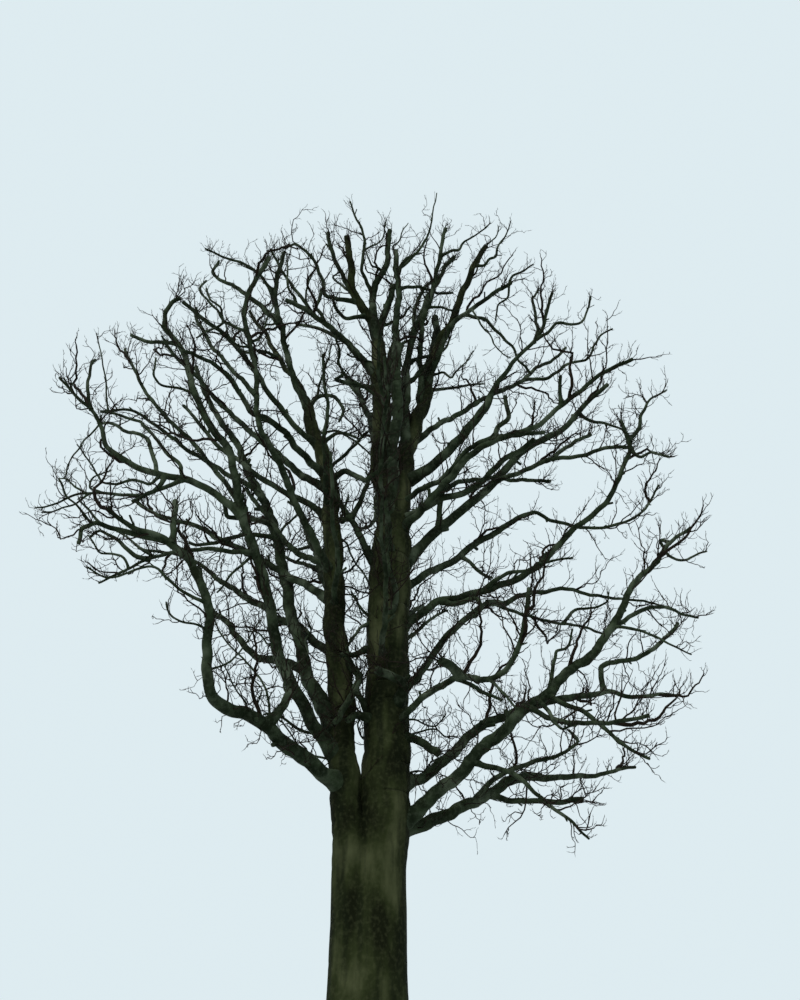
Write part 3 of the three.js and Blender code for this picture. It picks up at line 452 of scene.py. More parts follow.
# The source's rule for twigs. Each kind stands so far apart on its parent; bare is the share of
# the parent that has none, open the angle to the parent, lift how strongly a twig turns up, kink
# how far its second half turns aside. Bend is how far each of its pieces turns.
RULES = {
    "branchlet": dict(gap=500, bare=0.16, length=1050, open=58, lift=0.3, kink=0.35, thickness=37,
                      pieces=8, bend=0.2, sides=5, bears=("twig", "sprig")),
    "twig": dict(gap=460, bare=0.3, length=540, open=48, lift=0.15, kink=0, thickness=23,
                 pieces=6, bend=0.28, sides=4, bears=("sprig",)),
    "runner": dict(gap=2400, bare=0.15, length=2000, open=55, lift=0.25, kink=0.8, thickness=78,
                   pieces=14, bend=0.32, sides=6, lowest=-0.2, bears=("twig", "spur")),
    "wanderer": dict(gap=1300, bare=0.2, length=1350, open=62, lift=0.3, kink=0.6, thickness=38,
                     pieces=11, bend=0.34, sides=5, lowest=-0.2, bears=("twig", "sprig")),
    "curl": dict(gap=420, bare=0.1, length=950, open=65, lift=0.1, kink=0.9, thickness=22,
                 pieces=10, bend=0.45, sides=4, bears=("sprig",)),
    "spur": dict(gap=300, bare=0.1, length=420, open=62, lift=0.4, kink=0.4, thickness=23,
                 pieces=6, bend=0.3, sides=4, bears=("sprig",)),
    "tuft": dict(gap=90, bare=0.0, length=720, open=42, lift=0.5, kink=0.3, thickness=20,
                 pieces=7, bend=0.24, sides=3, bears=("sprig",)),
    "shoot": dict(gap=260, bare=0.1, length=700, open=60, lift=0.7, kink=0.2, thickness=17,
                  pieces=6, bend=0.2, sides=3, lowest=-0.2, bears=("sprig",)),
    "whip": dict(gap=2000, bare=0.2, length=1250, open=50, lift=1.0, kink=0.1, thickness=17,
                 pieces=5, bend=0.05, sides=3, lowest=-0.2, bears=("sprig",)),
    "sprig": dict(gap=195, bare=0.2, length=210, open=48, lift=0.3, kink=0.4, thickness=15,
                  pieces=4, bend=0.3, sides=3, bears=("bud",)),
    "bud": dict(gap=80, bare=0.4, length=70, open=42, lift=0.3, kink=0, thickness=13,
                pieces=1, bend=0.1, sides=3, bears=()),
}
# Towards the end of a limb its twigs are shorter, by up to this share.
SHORTER_TO_TIP = 0.45
SHORTER_POWER = 4
GOLDEN_ANGLE = 2.4
TURN_SPREAD = 0.9
PLACE_SPREAD = 0.7
LENGTH_SPREAD = 0.5
LEADING_OPEN = 0.5
TIP_THICKNESS = 0.35
NEARLY_UPRIGHT = 0.9
# A bend turns its own piece by the first of these and all later pieces by the second, and those
# also turn up by a share of the lift.
BEND_HERE = 1.5
BEND_LATER = 0.7
LIFT_AT_BEND = 0.12
# A twig on a stem or bough starts this share of the radius out from the middle line.
BURIED = 0.75

CROWN_MIDDLE = np.array((-400.0, 0.0, 12300.0))
CROWN_REACH = np.array((8600.0, 6700.0, 8700.0))
# The scene's finer kinds may reach somewhat farther than the source's, so that no limb ends bare.
FINER_REACH = 1.14
LOWEST_TWIG = 3200
ROOM_BETWEEN_MASSES = 70
ROOM_TO_LIMB = 45
# The trunk's radius in the test of a twig's room, and where the feet of limbs swell into it.
TRUNK_ROOM = 600.0
TRUNK_SWELL = 640.0
TEST_STEP = 50
BEYOND_BOX = 150
BOX_LOW = np.array(cad_low) / MM - BEYOND_BOX
BOX_HIGH = np.array(cad_high) / MM + BEYOND_BOX

# Where the seeds of the random numbers for each purpose start, and how they step.
WAVE_SEED = 5000
BARK_SEED = 9000
LIMB_SEED = 20
STUB_SEED = 400
TUFT_SEED = 800
TWIG_STEP = 31
BEND_SEED = 7919
NEXT_KIND_SEED = 104729
KIND_SEEDS = {"branchlet": 0, "wanderer": 150, "spur": 300, "shoot": 300, "curl": 450, "whip": 600,
              "runner": 750}

WORD = 0xFFFFFFFF
DICE_STEP = 0x6D2B79F5


def dice(seed):
    """Repeatable random numbers from 0 to 1: a 32-bit counter stepped by an odd number and mixed."""
    state = seed & WORD

    def roll():
        nonlocal state
        state = (state + DICE_STEP) & WORD
        mixed = ((state ^ (state >> 15)) * (state | 1)) & WORD
        mixed ^= (mixed + (mixed ^ (mixed >> 7)) * (mixed | 61)) & WORD
        return ((mixed ^ (mixed >> 14)) & WORD) / 2**32

    return roll


def sway(roll):
    """Three random numbers from -0.5 to 0.5."""
    return roll() - 0.5, roll() - 0.5, roll() - 0.5


def path_length(path):
    return float(np.linalg.norm(np.diff(path, axis=0), axis=1).sum())


def gone_along(path):
    """How far along a path each of its points is."""
    return np.concatenate(([0], np.cumsum(np.linalg.norm(np.diff(path, axis=0), axis=1))))


def walk(path, distance):
    """Where a path is after a given distance: the point and the direction of its leg."""
    legs = np.diff(path, axis=0)
    lengths = np.linalg.norm(legs, axis=1)
    ends = np.cumsum(lengths)
    i = min(int(np.searchsorted(ends, distance)), len(legs) - 1)
    share = (distance - ends[i] + lengths[i]) / lengths[i]
    return path[i] + legs[i] * share, legs[i] / lengths[i]


def limb_path(row, limbs, seed):
    """A limb's middle line and its radii, from its row."""
    start, along, depth, girth, tip, legs = row[1:]
    roll = dice(seed)
    if isinstance(start, str):
        parent, radii = limbs[start]
        if along is None:
            along = path_length(parent) - radii[-1] / 2
        start = walk(parent, along)[0]
    points = [np.array(start, float)]
    for across, up in legs:
        leg = np.array((across, depth / len(legs), up))
        aside = np.array(sway(roll))
        middle = points[-1] + leg / 2 + aside * 2 * CROOK * np.linalg.norm(leg)
        points += [middle, points[-1] + leg]
    path = np.array(points)
    gone = gone_along(path)
    return path, np.interp(gone, (0, gone[-1]), (girth / 2, tip / 2))


# The limbs in millimetres, made of straight legs as the solids are.
ROWS = STEMS + BOUGHS + TWIG_LIMBS + LESSER_LIMBS
PLAIN = {"trunk": (np.array([(0, 0, 0), TRUNK_FORK], float), np.full(2, TRUNK_ROOM))}
for place, row in enumerate(ROWS):
    PLAIN[row[0]] = limb_path(row, PLAIN, place + 1)


# Smooth limbs. A limb and what grows on from its end are one chain, with rounded corners and a
# few small waves, and its foot on its parent's middle line.
STEP = 60
CORNER_ROUNDS = 2
CORNER_CUT = 0.25
FEWEST_POINTS = 4
# The waves' lengths and sizes. They start from nothing, grow with the limb's radius up to the
# thickest that still waves, and each length varies by the spread.
WAVES = ((1400, 0.24), (640, 0.14), (330, 0.08))
WAVE_START = 500
WAVE_BY_RADIUS = 0.8
LEAST_WAVE = 12
THICKEST_TO_WAVE = 90
WAVE_SPREAD = 0.4


class Chain:
    def __init__(self, name, path, radii, parent):
        self.names = [name]
        self.plain = [path]
        self.path = path
        self.radii = radii
        self.parent = parent

    def go_on(self, name, path, radii):
        self.names.append(name)
        self.plain.append(path)
        self.path = np.vstack((self.path[:-1], path))
        self.radii = np.concatenate((self.radii[:-1], radii))

    def nearest(self, point):
        """The place on the path that is nearest to a point, as an index."""
        return int(np.argmin(np.linalg.norm(self.path - point, axis=1)))

    def part(self, name):
        """The stretch of the smooth path that belongs to one of the chain's limbs."""
        plain = self.plain[self.names.index(name)]
        first, last = self.nearest(plain[0]), self.nearest(plain[-1])
        return self.path[first:last + 1], self.radii[first:last + 1]


def rounded(path):
    """Cuts each corner of a path off, and keeps both its ends."""
    for _ in range(CORNER_ROUNDS):
        early = path[:-1] * (1 - CORNER_CUT) + path[1:] * CORNER_CUT
        late = path[:-1] * CORNER_CUT + path[1:] * (1 - CORNER_CUT)
        inner = np.stack((early, late), axis=1).reshape(-1, path.shape[1])
        path = np.vstack((path[:1], inner, path[-1:]))
    return path


def even(path, step):
    """The same path with its points evenly spaced."""
    gone = gone_along(path[:, :3])
    places = np.linspace(0, gone[-1], max(FEWEST_POINTS, round(gone[-1] / step) + 1))
    return np.stack([np.interp(places, gone, column) for column in path.T], axis=1)


def waved(path, radii, roll):
    gone = np.linspace(0, path_length(path), len(path))
    fade = np.minimum(1, gone / WAVE_START)[:, None]
    size = (np.minimum(radii, THICKEST_TO_WAVE) * WAVE_BY_RADIUS + LEAST_WAVE)[:, None] * fade
    for length, share in WAVES:
        aside = np.array([math.tau * roll() for _ in range(3)])
        pace = length * (1 - WAVE_SPREAD / 2 + WAVE_SPREAD * roll())
        path = path + size * share * np.sin(math.tau * gone[:, None] / pace + aside)
    return path


chain_of = {}
chains = []
for name, parent, along, *_ in ROWS:
    path, radii = PLAIN[name]
    before = chain_of.get(parent) if isinstance(parent, str) else None
    if along is None and before is not None and before.names[-1] == parent:
        before.go_on(name, path, radii)
        chain_of[name] = before
    else:
        chain_of[name] = Chain(name, path, radii, parent if isinstance(parent, str) else None)
        chains.append(chain_of[name])
for place, chain in enumerate(chains):
    if chain.parent and chain.parent != "trunk":
        stock = chain_of[chain.parent]
        chain.path[0] = stock.path[stock.nearest(chain.path[0])]
    both = even(rounded(np.column_stack((chain.path, chain.radii))), STEP)
    chain.radii = both[:, 3]
    chain.path = waved(both[:, :3], chain.radii, dice(WAVE_SEED + place))


# Noise for bark: smooth random values from -1 to 1 on a lattice.
CELL_MIXERS = (374761393, 668265263, 1440662683)
LAST_MIXER = 1274126177
GROOVE_WIDTH = 0.16
# The finer bark between the grooves: how much finer it is round a limb and along it, and its share.
FINER_ROUND = 2.1
FINER_ALONG = 2.2
FINER_SHARE = 0.35
BARK_SHIFT = 7.3


def smooth(share):
    """Eases a share between 0 and 1, so that it starts and stops gently."""
    return share * share * (3 - 2 * share)


def ease(values, low, high):
    return smooth(np.clip((values - low) / (high - low), 0, 1))


def lattice(cells):
    mixed = sum(cells[..., axis].astype(np.int64) * CELL_MIXERS[axis] for axis in range(3)) & WORD
    mixed = ((mixed ^ (mixed >> 13)) * LAST_MIXER) & WORD
    return (mixed ^ (mixed >> 16)) / WORD * 2 - 1


def noise(points):
    base = np.floor(points)
    share = smooth(points - base)
    total = 0
    for corner in np.ndindex(2, 2, 2):
        corner = np.array(corner)
        weight = np.prod(np.where(corner, share, 1 - share), axis=-1)
        total = total + weight * lattice(base + corner)
    return total


def grooves(points):
    """Near 1 along thin wandering lines, and 0 between them."""
    return np.exp(-(noise(points) / GROOVE_WIDTH) ** 2)


def spots_round(angle, size, along):
    """Places for noise on a limb's skin: on a circle of the given size, and so far along."""
    return np.stack(np.broadcast_arrays(np.cos(angle) * size, np.sin(angle) * size, along), axis=-1)


def bark_height(along, angle, radius, bark, seed):
    """Bark's relief round a limb, from about -1 in a fissure to 0.5 on a ridge."""
    spots = spots_round(angle, radius / bark["width"], along / bark["length"] + seed * BARK_SHIFT)
    fine = noise(spots * (FINER_ROUND, FINER_ROUND, FINER_ALONG))
    return FINER_SHARE * fine - grooves(spots)


# Meshes from arrays.
def placed(name, data):
    """A new object in the scene."""
    made = bpy.data.objects.new(name, data)
    bpy.context.scene.collection.objects.link(made)
    return made


def new_object(name, points, quads, triangles, material, slot):
    """A mesh object from millimetre points and the corners of its faces."""
    mesh = bpy.data.meshes.new(name)
    mesh.vertices.add(len(points))
    mesh.vertices.foreach_set("co", (np.asarray(points) * MM).astype(np.float32).ravel())
    corners = np.concatenate((quads.ravel(), triangles.ravel())).astype(np.int32)
    mesh.loops.add(len(corners))
    mesh.loops.foreach_set("vertex_index", corners)
    starts = np.concatenate((np.arange(0, quads.size, 4), np.arange(quads.size, len(corners), 3)))
    mesh.polygons.add(len(starts))
    mesh.polygons.foreach_set("loop_start", starts.astype(np.int32))
    mesh.polygons.foreach_set("use_smooth", np.ones(len(starts), bool))
    mesh.update(calc_edges=True)
    mesh.validate()
    mesh.materials.append(material)
    made = placed(name, mesh)
    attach(made, "root")
    return made


class Heap:
    """Points and faces of many tubes that become one mesh."""

    def __init__(self):
        self.points, self.quads, self.triangles = [], [], []
        self.count = 0

    def add(self, points, quads, triangles):
        self.points.append(points)
        self.quads.append(quads + self.count)
        self.triangles.append(triangles + self.count)
        self.count += len(points)

    def made(self, name, material, slot):
        arrays = [np.vstack(each) for each in (self.points, self.quads, self.triangles)]
        return new_object(name, *arrays, material, slot)


def unit(vectors):
    return vectors / np.linalg.norm(vectors, axis=-1, keepdims=True)


def side_frames(paths):
    """Two unit vectors square to each path at each of its points, with no twist along it."""
    legs = unit(np.diff(paths, axis=1))
    forward = np.concatenate((legs[:, :1], unit(legs[:, 1:] + legs[:, :-1]), legs[:, -1:]), axis=1)
    upright = np.abs(forward[:, 0, 2]) > NEARLY_UPRIGHT
    hint = np.where(upright[:, None], (1.0, 0, 0), (0, 0, 1.0))
    first = np.empty_like(paths)
    for i in range(paths.shape[1]):
        ahead = forward[:, i]
        hint = unit(hint - (hint * ahead).sum(-1, keepdims=True) * ahead)
        first[:, i] = hint
    return first, np.cross(forward, first)


def angles_round(sides):
    return np.arange(sides) * math.tau / sides


def tube_faces(count, rings, sides):
    """Faces of tubes whose points run tube by tube, ring by ring, with one last point each."""
    tube = rings * sides + 1
    starts = (np.arange(count) * tube)[:, None, None]
    ring = (np.arange(rings - 1) * sides)[None, :, None]
    side = np.arange(sides)[None, None, :]
    low = starts + ring + side
    low_next = starts + ring + (side + 1) % sides
    quads = np.stack((low, low_next, low_next + sides, low + sides), axis=-1).reshape(-1, 4)
    last = starts[:, 0] + (rings - 1) * sides
    side = side[0]
    point = np.broadcast_to(starts[:, 0] + rings * sides, (count, sides))
    ends = np.stack((last + side, last + (side + 1) % sides, point), axis=-1).reshape(-1, 3)
    return quads, ends


def thin_tubes(paths, radii, sides):
    """Plain tubes along many paths of as many points each, pointed at their ends."""
    first, second = side_frames(paths)
    angles = angles_round(sides)
    rings = (
        paths[:, :-1, None]
        + radii[:, :-1, None, None] * np.cos(angles)[:, None] * first[:, :-1, None]
        + radii[:, :-1, None, None] * np.sin(angles)[:, None] * second[:, :-1, None]
    )
    count = len(paths)
    points = np.concatenate((rings.reshape(count, -1, 3), paths[:, -1:]), axis=1).reshape(-1, 3)
    return points, *tube_faces(count, paths.shape[1] - 1, sides)


# Limbs with bark, in millimetres: how fine the mesh is, how deep and how large the bark's pattern,
# how far apart the knots are, and how strong lumps and knots are.
STEM_BARK = dict(step=80, facet=36, relief=4, width=80, length=420, knot_gap=1100, lumps=0.04, knots=0.07)
BOUGH_BARK = dict(step=60, facet=34, relief=2, width=45, length=280, knot_gap=700, lumps=0.06, knots=0.22)
STUB_BARK = dict(BOUGH_BARK, step=45, lumps=0.15, knots=0.1)
TRUNK_BARK = dict(relief=6, width=90, length=460)
# A limb ends bluntly: rings past its last point and their size, both in shares of its last radius.
BLUNT_END = ((0.16, 0.92), (0.26, 0.6), (0.3, 0.0))
FEWEST_SIDES = 6
MOST_SIDES = 80
LIMB_LUMPS_ROUND = 0.8
LEAST_LUMP = 200
LUMP_BY_RADIUS = 1.8
LUMP_SHIFT = 3.7
KNOT_BY_RADIUS = 0.7
LEAST_KNOT = 20
WEAKEST_KNOT = 0.4
KNOT_POWER = 3
LEAST_RELIEF = 0.3
# How far a limb swells where it meets another, as a share of the reach of the swelling.
COLLAR = 0.2


def gap_to(points, path, radii):
    """How far points are from the surface of a smooth limb, less than 0 inside it."""
    apart = np.linalg.norm(points[:, None] - path[None], axis=2)
    near = np.argmin(apart, axis=1)
    return apart[np.arange(len(points)), near] - radii[near]


def fillet(points, outward, neighbours):
    """Swells points outward where another limb is near, so that the two run into each other."""
    for path, radii, reach in neighbours:
        close = 1 - np.clip(np.abs(gap_to(points, path, radii)) / reach, 0, 1)
        points = points + outward * (reach * COLLAR * close**2)[:, None]
    return points


def limb_tube(path, radii, seed, bark, neighbours=()):
    """A limb with a blunt end, lumps, knots and bark."""
    both = even(np.column_stack((path, radii)), bark["step"])
    path, radii = both[:, :3], both[:, 3]
    roll = dice(BARK_SEED + seed)
    past, sizes = np.array(BLUNT_END).T
    ahead = unit(path[-1] - path[-2]) * radii[-1]
    path = np.vstack((path, path[-1] + ahead * past[:, None]))
    radii = np.concatenate((radii, radii[-1] * sizes))
    sides = int(np.clip(round(math.tau * radii.max() / bark["facet"]), FEWEST_SIDES, MOST_SIDES))
    first, second = (square[0][:-1, None] for square in side_frames(path[None]))
    angle = angles_round(sides)[None]
    along = gone_along(path)[:-1, None]
    total = along[-1, 0]
    radius = radii[:-1, None]
    lump_along = along / (LEAST_LUMP + radius * LUMP_BY_RADIUS) + seed * LUMP_SHIFT
    size = 1 + bark["lumps"] * noise(spots_round(angle, LIMB_LUMPS_ROUND, lump_along))
    for _ in range(int(total / bark["knot_gap"])):
        spot, turn = total * roll(), math.tau * roll()
        spread = (0.5 + 0.5 * np.cos(angle - turn)) ** KNOT_POWER
        bulge = np.exp(-((along - spot) / (radius * KNOT_BY_RADIUS + LEAST_KNOT)) ** 2) * spread
        size += bark["knots"] * (WEAKEST_KNOT + (1 - WEAKEST_KNOT) * roll()) * bulge
    mean = float(np.mean(radii))
    relief = bark["relief"] * np.clip(radius / mean, LEAST_RELIEF, 1)
    height = bark_height(along, angle, mean, bark, seed)
    outward = np.cos(angle)[..., None] * first + np.sin(angle)[..., None] * second
    rings = path[:-1, None] + outward * (radius * size + relief * height)[..., None]
    flat = fillet(rings.reshape(-1, 3), outward.reshape(-1, 3), neighbours)
    return np.vstack((flat, path[-1:])), *tube_faces(1, len(path) - 1, sides)


def smooth_least(first, second, reach):
    """The lesser of two distances, with a rounded crease between them."""
    blend = np.clip(0.5 + 0.5 * (second - first) / reach, 0, 1)
    return second + (first - second) * blend - reach * blend * (1 - blend)


def oval_radius(heights, angle):
    """The trunk's radius from its middle line in each direction."""
    from_waist = (heights - WAIST_HEIGHT) / WAIST_HEIGHT
    swell = WAIST + (1 - WAIST) * from_waist**2
    lobe = 1 + BUTTRESS_DEPTH * np.cos(BUTTRESSES * angle + BUTTRESS_TURN)
    size = swell * (1 + FLARE * np.exp(-heights / FLARE_HEIGHT) * lobe)
    across, through = np.cos(angle) / (TRUNK_WIDTH / 2), np.sin(angle) / (TRUNK_THICKNESS / 2)
    return size / np.sqrt(across**2 + through**2)


def trunk_radius(heights, angle, middle):
    """How far out the trunk's surface is: an oval that parts upwards into its two stems."""
    core = oval_radius(heights, angle) * (1 - CORE_LOSS * ease(heights, PARTING_LOW, PARTING_HIGH))
    reach = np.arange(0, RAY_LENGTH, RAY_STEP)
    way = np.stack((np.cos(angle), np.sin(angle)), axis=-1)
    spots = middle[:, None, None, :2] + way[:, :, None] * reach[None, None, :, None]
    apart = reach - core[..., None]
    levels = heights[:, 0]
    for chain in (chain_of["stem_left"], chain_of["stem_main"]):
        x, y, height = chain.path.T
        centre = np.stack([np.interp(levels, height, values) for values in (x, y)], axis=-1)
        cover = STEM_COVER - STEM_SINK * ease(levels, STEM_COVER_TOP, PARTING_HIGH)
        stem = np.interp(levels, height, chain.radii) + cover
        gap = np.linalg.norm(spots - centre[:, None, None], axis=-1) - stem[:, None, None]
        apart = smooth_least(apart, gap, CREASE)
    outside = apart[..., ::-1] < 0
    last = len(reach) - 1 - np.argmax(outside, axis=-1)
    near = np.take_along_axis(apart, last[..., None], -1)[..., 0]
    far = np.take_along_axis(apart, np.minimum(last + 1, len(reach) - 1)[..., None], -1)[..., 0]
    return reach[last] + RAY_STEP * np.clip(-near / (far - near + NEVER_ZERO), 0, 1)


def trunk_tube():
    fade_low, fade_high = LUMPS_FADE
    low_rings = np.linspace(0, fade_low, RINGS_LOW)
    high_rings = np.linspace(fade_low + RING_GAP, PARTING_HIGH, RINGS_HIGH)
    heights = np.concatenate((low_rings, high_rings))[:, None]
    angle = angles_round(TRUNK_SIDES)[None]
    relief = TRUNK_BARK["relief"] * bark_height(heights, angle, TRUNK_WIDTH / 2, TRUNK_BARK, 0)
    lumps = noise(spots_round(angle, LUMPS_ROUND, heights / LUMP_LENGTH))
    relief = relief + LUMP_HEIGHT * lumps * (1 - ease(heights, fade_low, fade_high))
    middle = heights / TRUNK_HEIGHT * np.array(TRUNK_FORK)
    middle[:, 2] = heights[:, 0]
    outward = np.stack((np.cos(angle), np.sin(angle), np.zeros_like(angle)), axis=-1)
    rings = middle[:, None] + outward * (trunk_radius(heights, angle, middle) + relief)[..., None]
    points = np.vstack((rings.reshape(-1, 3), middle[-1:], (0, 0, 0)))
    quads, ends = tube_faces(1, len(heights), TRUNK_SIDES)
    side = np.arange(TRUNK_SIDES)
    foot = np.full(TRUNK_SIDES, len(points) - 1)
    sole = np.stack(((side + 1) % TRUNK_SIDES, side, foot), axis=-1)
    return points, quads, np.vstack((ends, sole))


# Twigs.
UP = Vector((0, 0, 1))
RIGHT = Vector((1, 0, 0))


def inside_crown(points, reach):
    share = (points - CROWN_MIDDLE) / CROWN_REACH / reach
    if (share**2).sum(-1).max() > 1 or points[:, 2].min() < LOWEST_TWIG:
        return False
    return bool((points > BOX_LOW).all() and (points < BOX_HIGH).all())


class CrownRoom:
    """Where a twig may grow, in millimetres: the source's own test."""

    def __init__(self, own):
        self.bare = self.legs([PLAIN["trunk"]] + [PLAIN[row[0]] for row in STEMS + BOUGHS])
        self.others = self.legs([PLAIN[row[0]] for row in TWIG_LIMBS if row[0] != own])
        self.own = self.legs([PLAIN[own]])

    @staticmethod
    def legs(limbs):
        starts = np.vstack([path[:-1] for path, _ in limbs])
        ends = np.vstack([path[1:] for path, _ in limbs])
        first = np.concatenate([radii[:-1] for _, radii in limbs])
        last = np.concatenate([radii[1:] for _, radii in limbs])
        return starts, ends - starts, first, last - first

    @staticmethod
    def distance(points, legs):
        starts, ways, first, change = legs
        share = ((points[:, None] - starts) * ways).sum(-1) / (ways * ways).sum(-1)
        share = np.clip(share, 0, 1)
        feet = starts + ways * share[..., None]
        apart = np.linalg.norm(points[:, None] - feet, axis=-1) - (first + change * share)
        return apart.min(axis=1)

    def allows(self, path, radius):
        steps = np.arange(0, path_length(path), TEST_STEP)
        points = np.array([walk(path, gone)[0] for gone in steps])
        if not inside_crown(points, 1):
            return False
        if (self.distance(points, self.bare) < radius + ROOM_TO_LIMB).any():
            return False
        limit = np.maximum(0, self.distance(points, self.own)) + 2 * radius + ROOM_BETWEEN_MASSES
        return not (self.distance(points, self.others) < limit).any()


class Grower:
    """Grows twigs by the rules and keeps them by kind."""

    def __init__(self):
        self.paths = {kind: [] for kind in RULES}
        self.radii = {kind: [] for kind in RULES}

    def grow(self, path, kind, seed, bare=None, room=None, size=1.0, apart=1.0, radii=(0,)):
        """Grows one kind along a limb of the given radii, and on each twig the kinds that it bears."""
        rule = RULES[kind]
        roll = dice(seed)
        total = path_length(path)
        bare = rule["bare"] if bare is None else bare
        count = max(1, round(total * (1 - bare) / rule["gap"] / apart))
        turn = roll() * math.tau
        for k in range(count):
            place = (k + (1 - PLACE_SPREAD) / 2 + PLACE_SPREAD * roll()) / count
            share = bare + (1 - bare) * place
            turn += GOLDEN_ANGLE + (roll() - 0.5) * TURN_SPREAD
            length = size * rule["length"] * (1 - LENGTH_SPREAD / 2 + LENGTH_SPREAD * roll())
            length *= 1 - SHORTER_TO_TIP * share**SHORTER_POWER
            kink = Vector(sway(roll)) * 2 * rule["kink"]
            point, ahead = (Vector(values) for values in walk(path, share * total))
            hint = UP if abs(ahead.z) < NEARLY_UPRIGHT else RIGHT
            first = (hint - ahead * hint.dot(ahead)).normalized()
            second = ahead.cross(first)
            opening = math.radians(rule["open"]) * (LEADING_OPEN if k == count - 1 else 1)
            out = ahead * math.cos(opening)
            out += (first * math.cos(turn) + second * math.sin(turn)) * math.sin(opening)
            out = (out + UP * rule["lift"]).normalized()
            out.z = max(out.z, rule.get("lowest", -1))
            point += out * BURIED * float(np.interp(share * (len(radii) - 1), range(len(radii)), radii))
            seed_here = seed * TWIG_STEP + k + 1
            points = self.crooked(point, out, kink, length, rule, dice(seed_here + BEND_SEED))
            radius = size**0.5 * rule["thickness"] / 2
            if room is not None and not room.allows(points, radius):
                continue
            if not inside_crown(points, FINER_REACH):
                continue
            self.paths[kind].append(points)
            self.radii[kind].append(radius * np.linspace(1, TIP_THICKNESS, len(points)))
            for step, child in enumerate(rule["bears"]):
                test = room if child == "twig" else None
                self.grow(points, child, seed_here + step * NEXT_KIND_SEED, None, test, size)

    @staticmethod
    def crooked(point, out, kink, length, rule, bend):
        """A twig's path: out straight, turning aside by the kink halfway, with a bend at each piece."""
        pieces = rule["pieces"]
        points = [point]
        for i in range(pieces):
            if i == pieces // 2 and rule["kink"] > 0:
                out = (out + kink + UP * rule["lift"]).normalized()
            aside = Vector(sway(bend)) * 2 * rule["bend"]
            out_here = (out + aside * BEND_HERE).normalized()
            out = (out + aside * BEND_LATER + UP * rule["lift"] * LIFT_AT_BEND).normalized()
            points.append(points[-1] + out_here * (length / pieces))
        return np.array(points)

    def heap(self):
        heap = Heap()
        for kind, paths in self.paths.items():
            if paths:
                heap.add(*thin_tubes(np.array(paths), np.array(self.radii[kind]), RULES[kind]["sides"]))
        return heap


# Materials, all worked out from noise.
GAMMA = 2.2


def linear(red, green, blue):
    """An sRGB colour of 0 to 255 as the shader's own numbers."""
    return tuple((value / 255) ** GAMMA for value in (red, green, blue)) + (1,)


# Dark, middle and pale bark, and its stains.
TRUNK_COLOURS = (linear(21, 24, 11), linear(39, 44, 25), linear(65, 68, 47), linear(18, 23, 11))
BOUGH_COLOURS = (linear(23, 29, 17), linear(43, 52, 37), linear(69, 76, 62), linear(21, 28, 17))
MOSS, MOSS_DARK = linear(46, 54, 24), linear(26, 32, 14)
TWIG_DARK, TWIG_MIDDLE = linear(22, 19, 14), linear(38, 32, 24)
FLOOR_DARK, FLOOR_PALE = linear(190, 193, 194), linear(197, 200, 201)
SKY = linear(221, 235, 240)
NO_SHARE, WHOLE_SHARE = (0, 0, 0, 1), (1, 1, 1, 1)
SHEEN = 0.08
NOISE_START = (1.7, 0.6, 0.9)
STAIN_SHARE = 0.8
SPECKLE_SHARE = 0.35
# Moss grows where bark faces up more than this, and less with each metre of height.
MOSS_SLOPE = 0.4
MOSS_BY_SLOPE = 1.3
MOSS_AT_FOOT = 1.6
MOSS_BY_METRE = 0.14


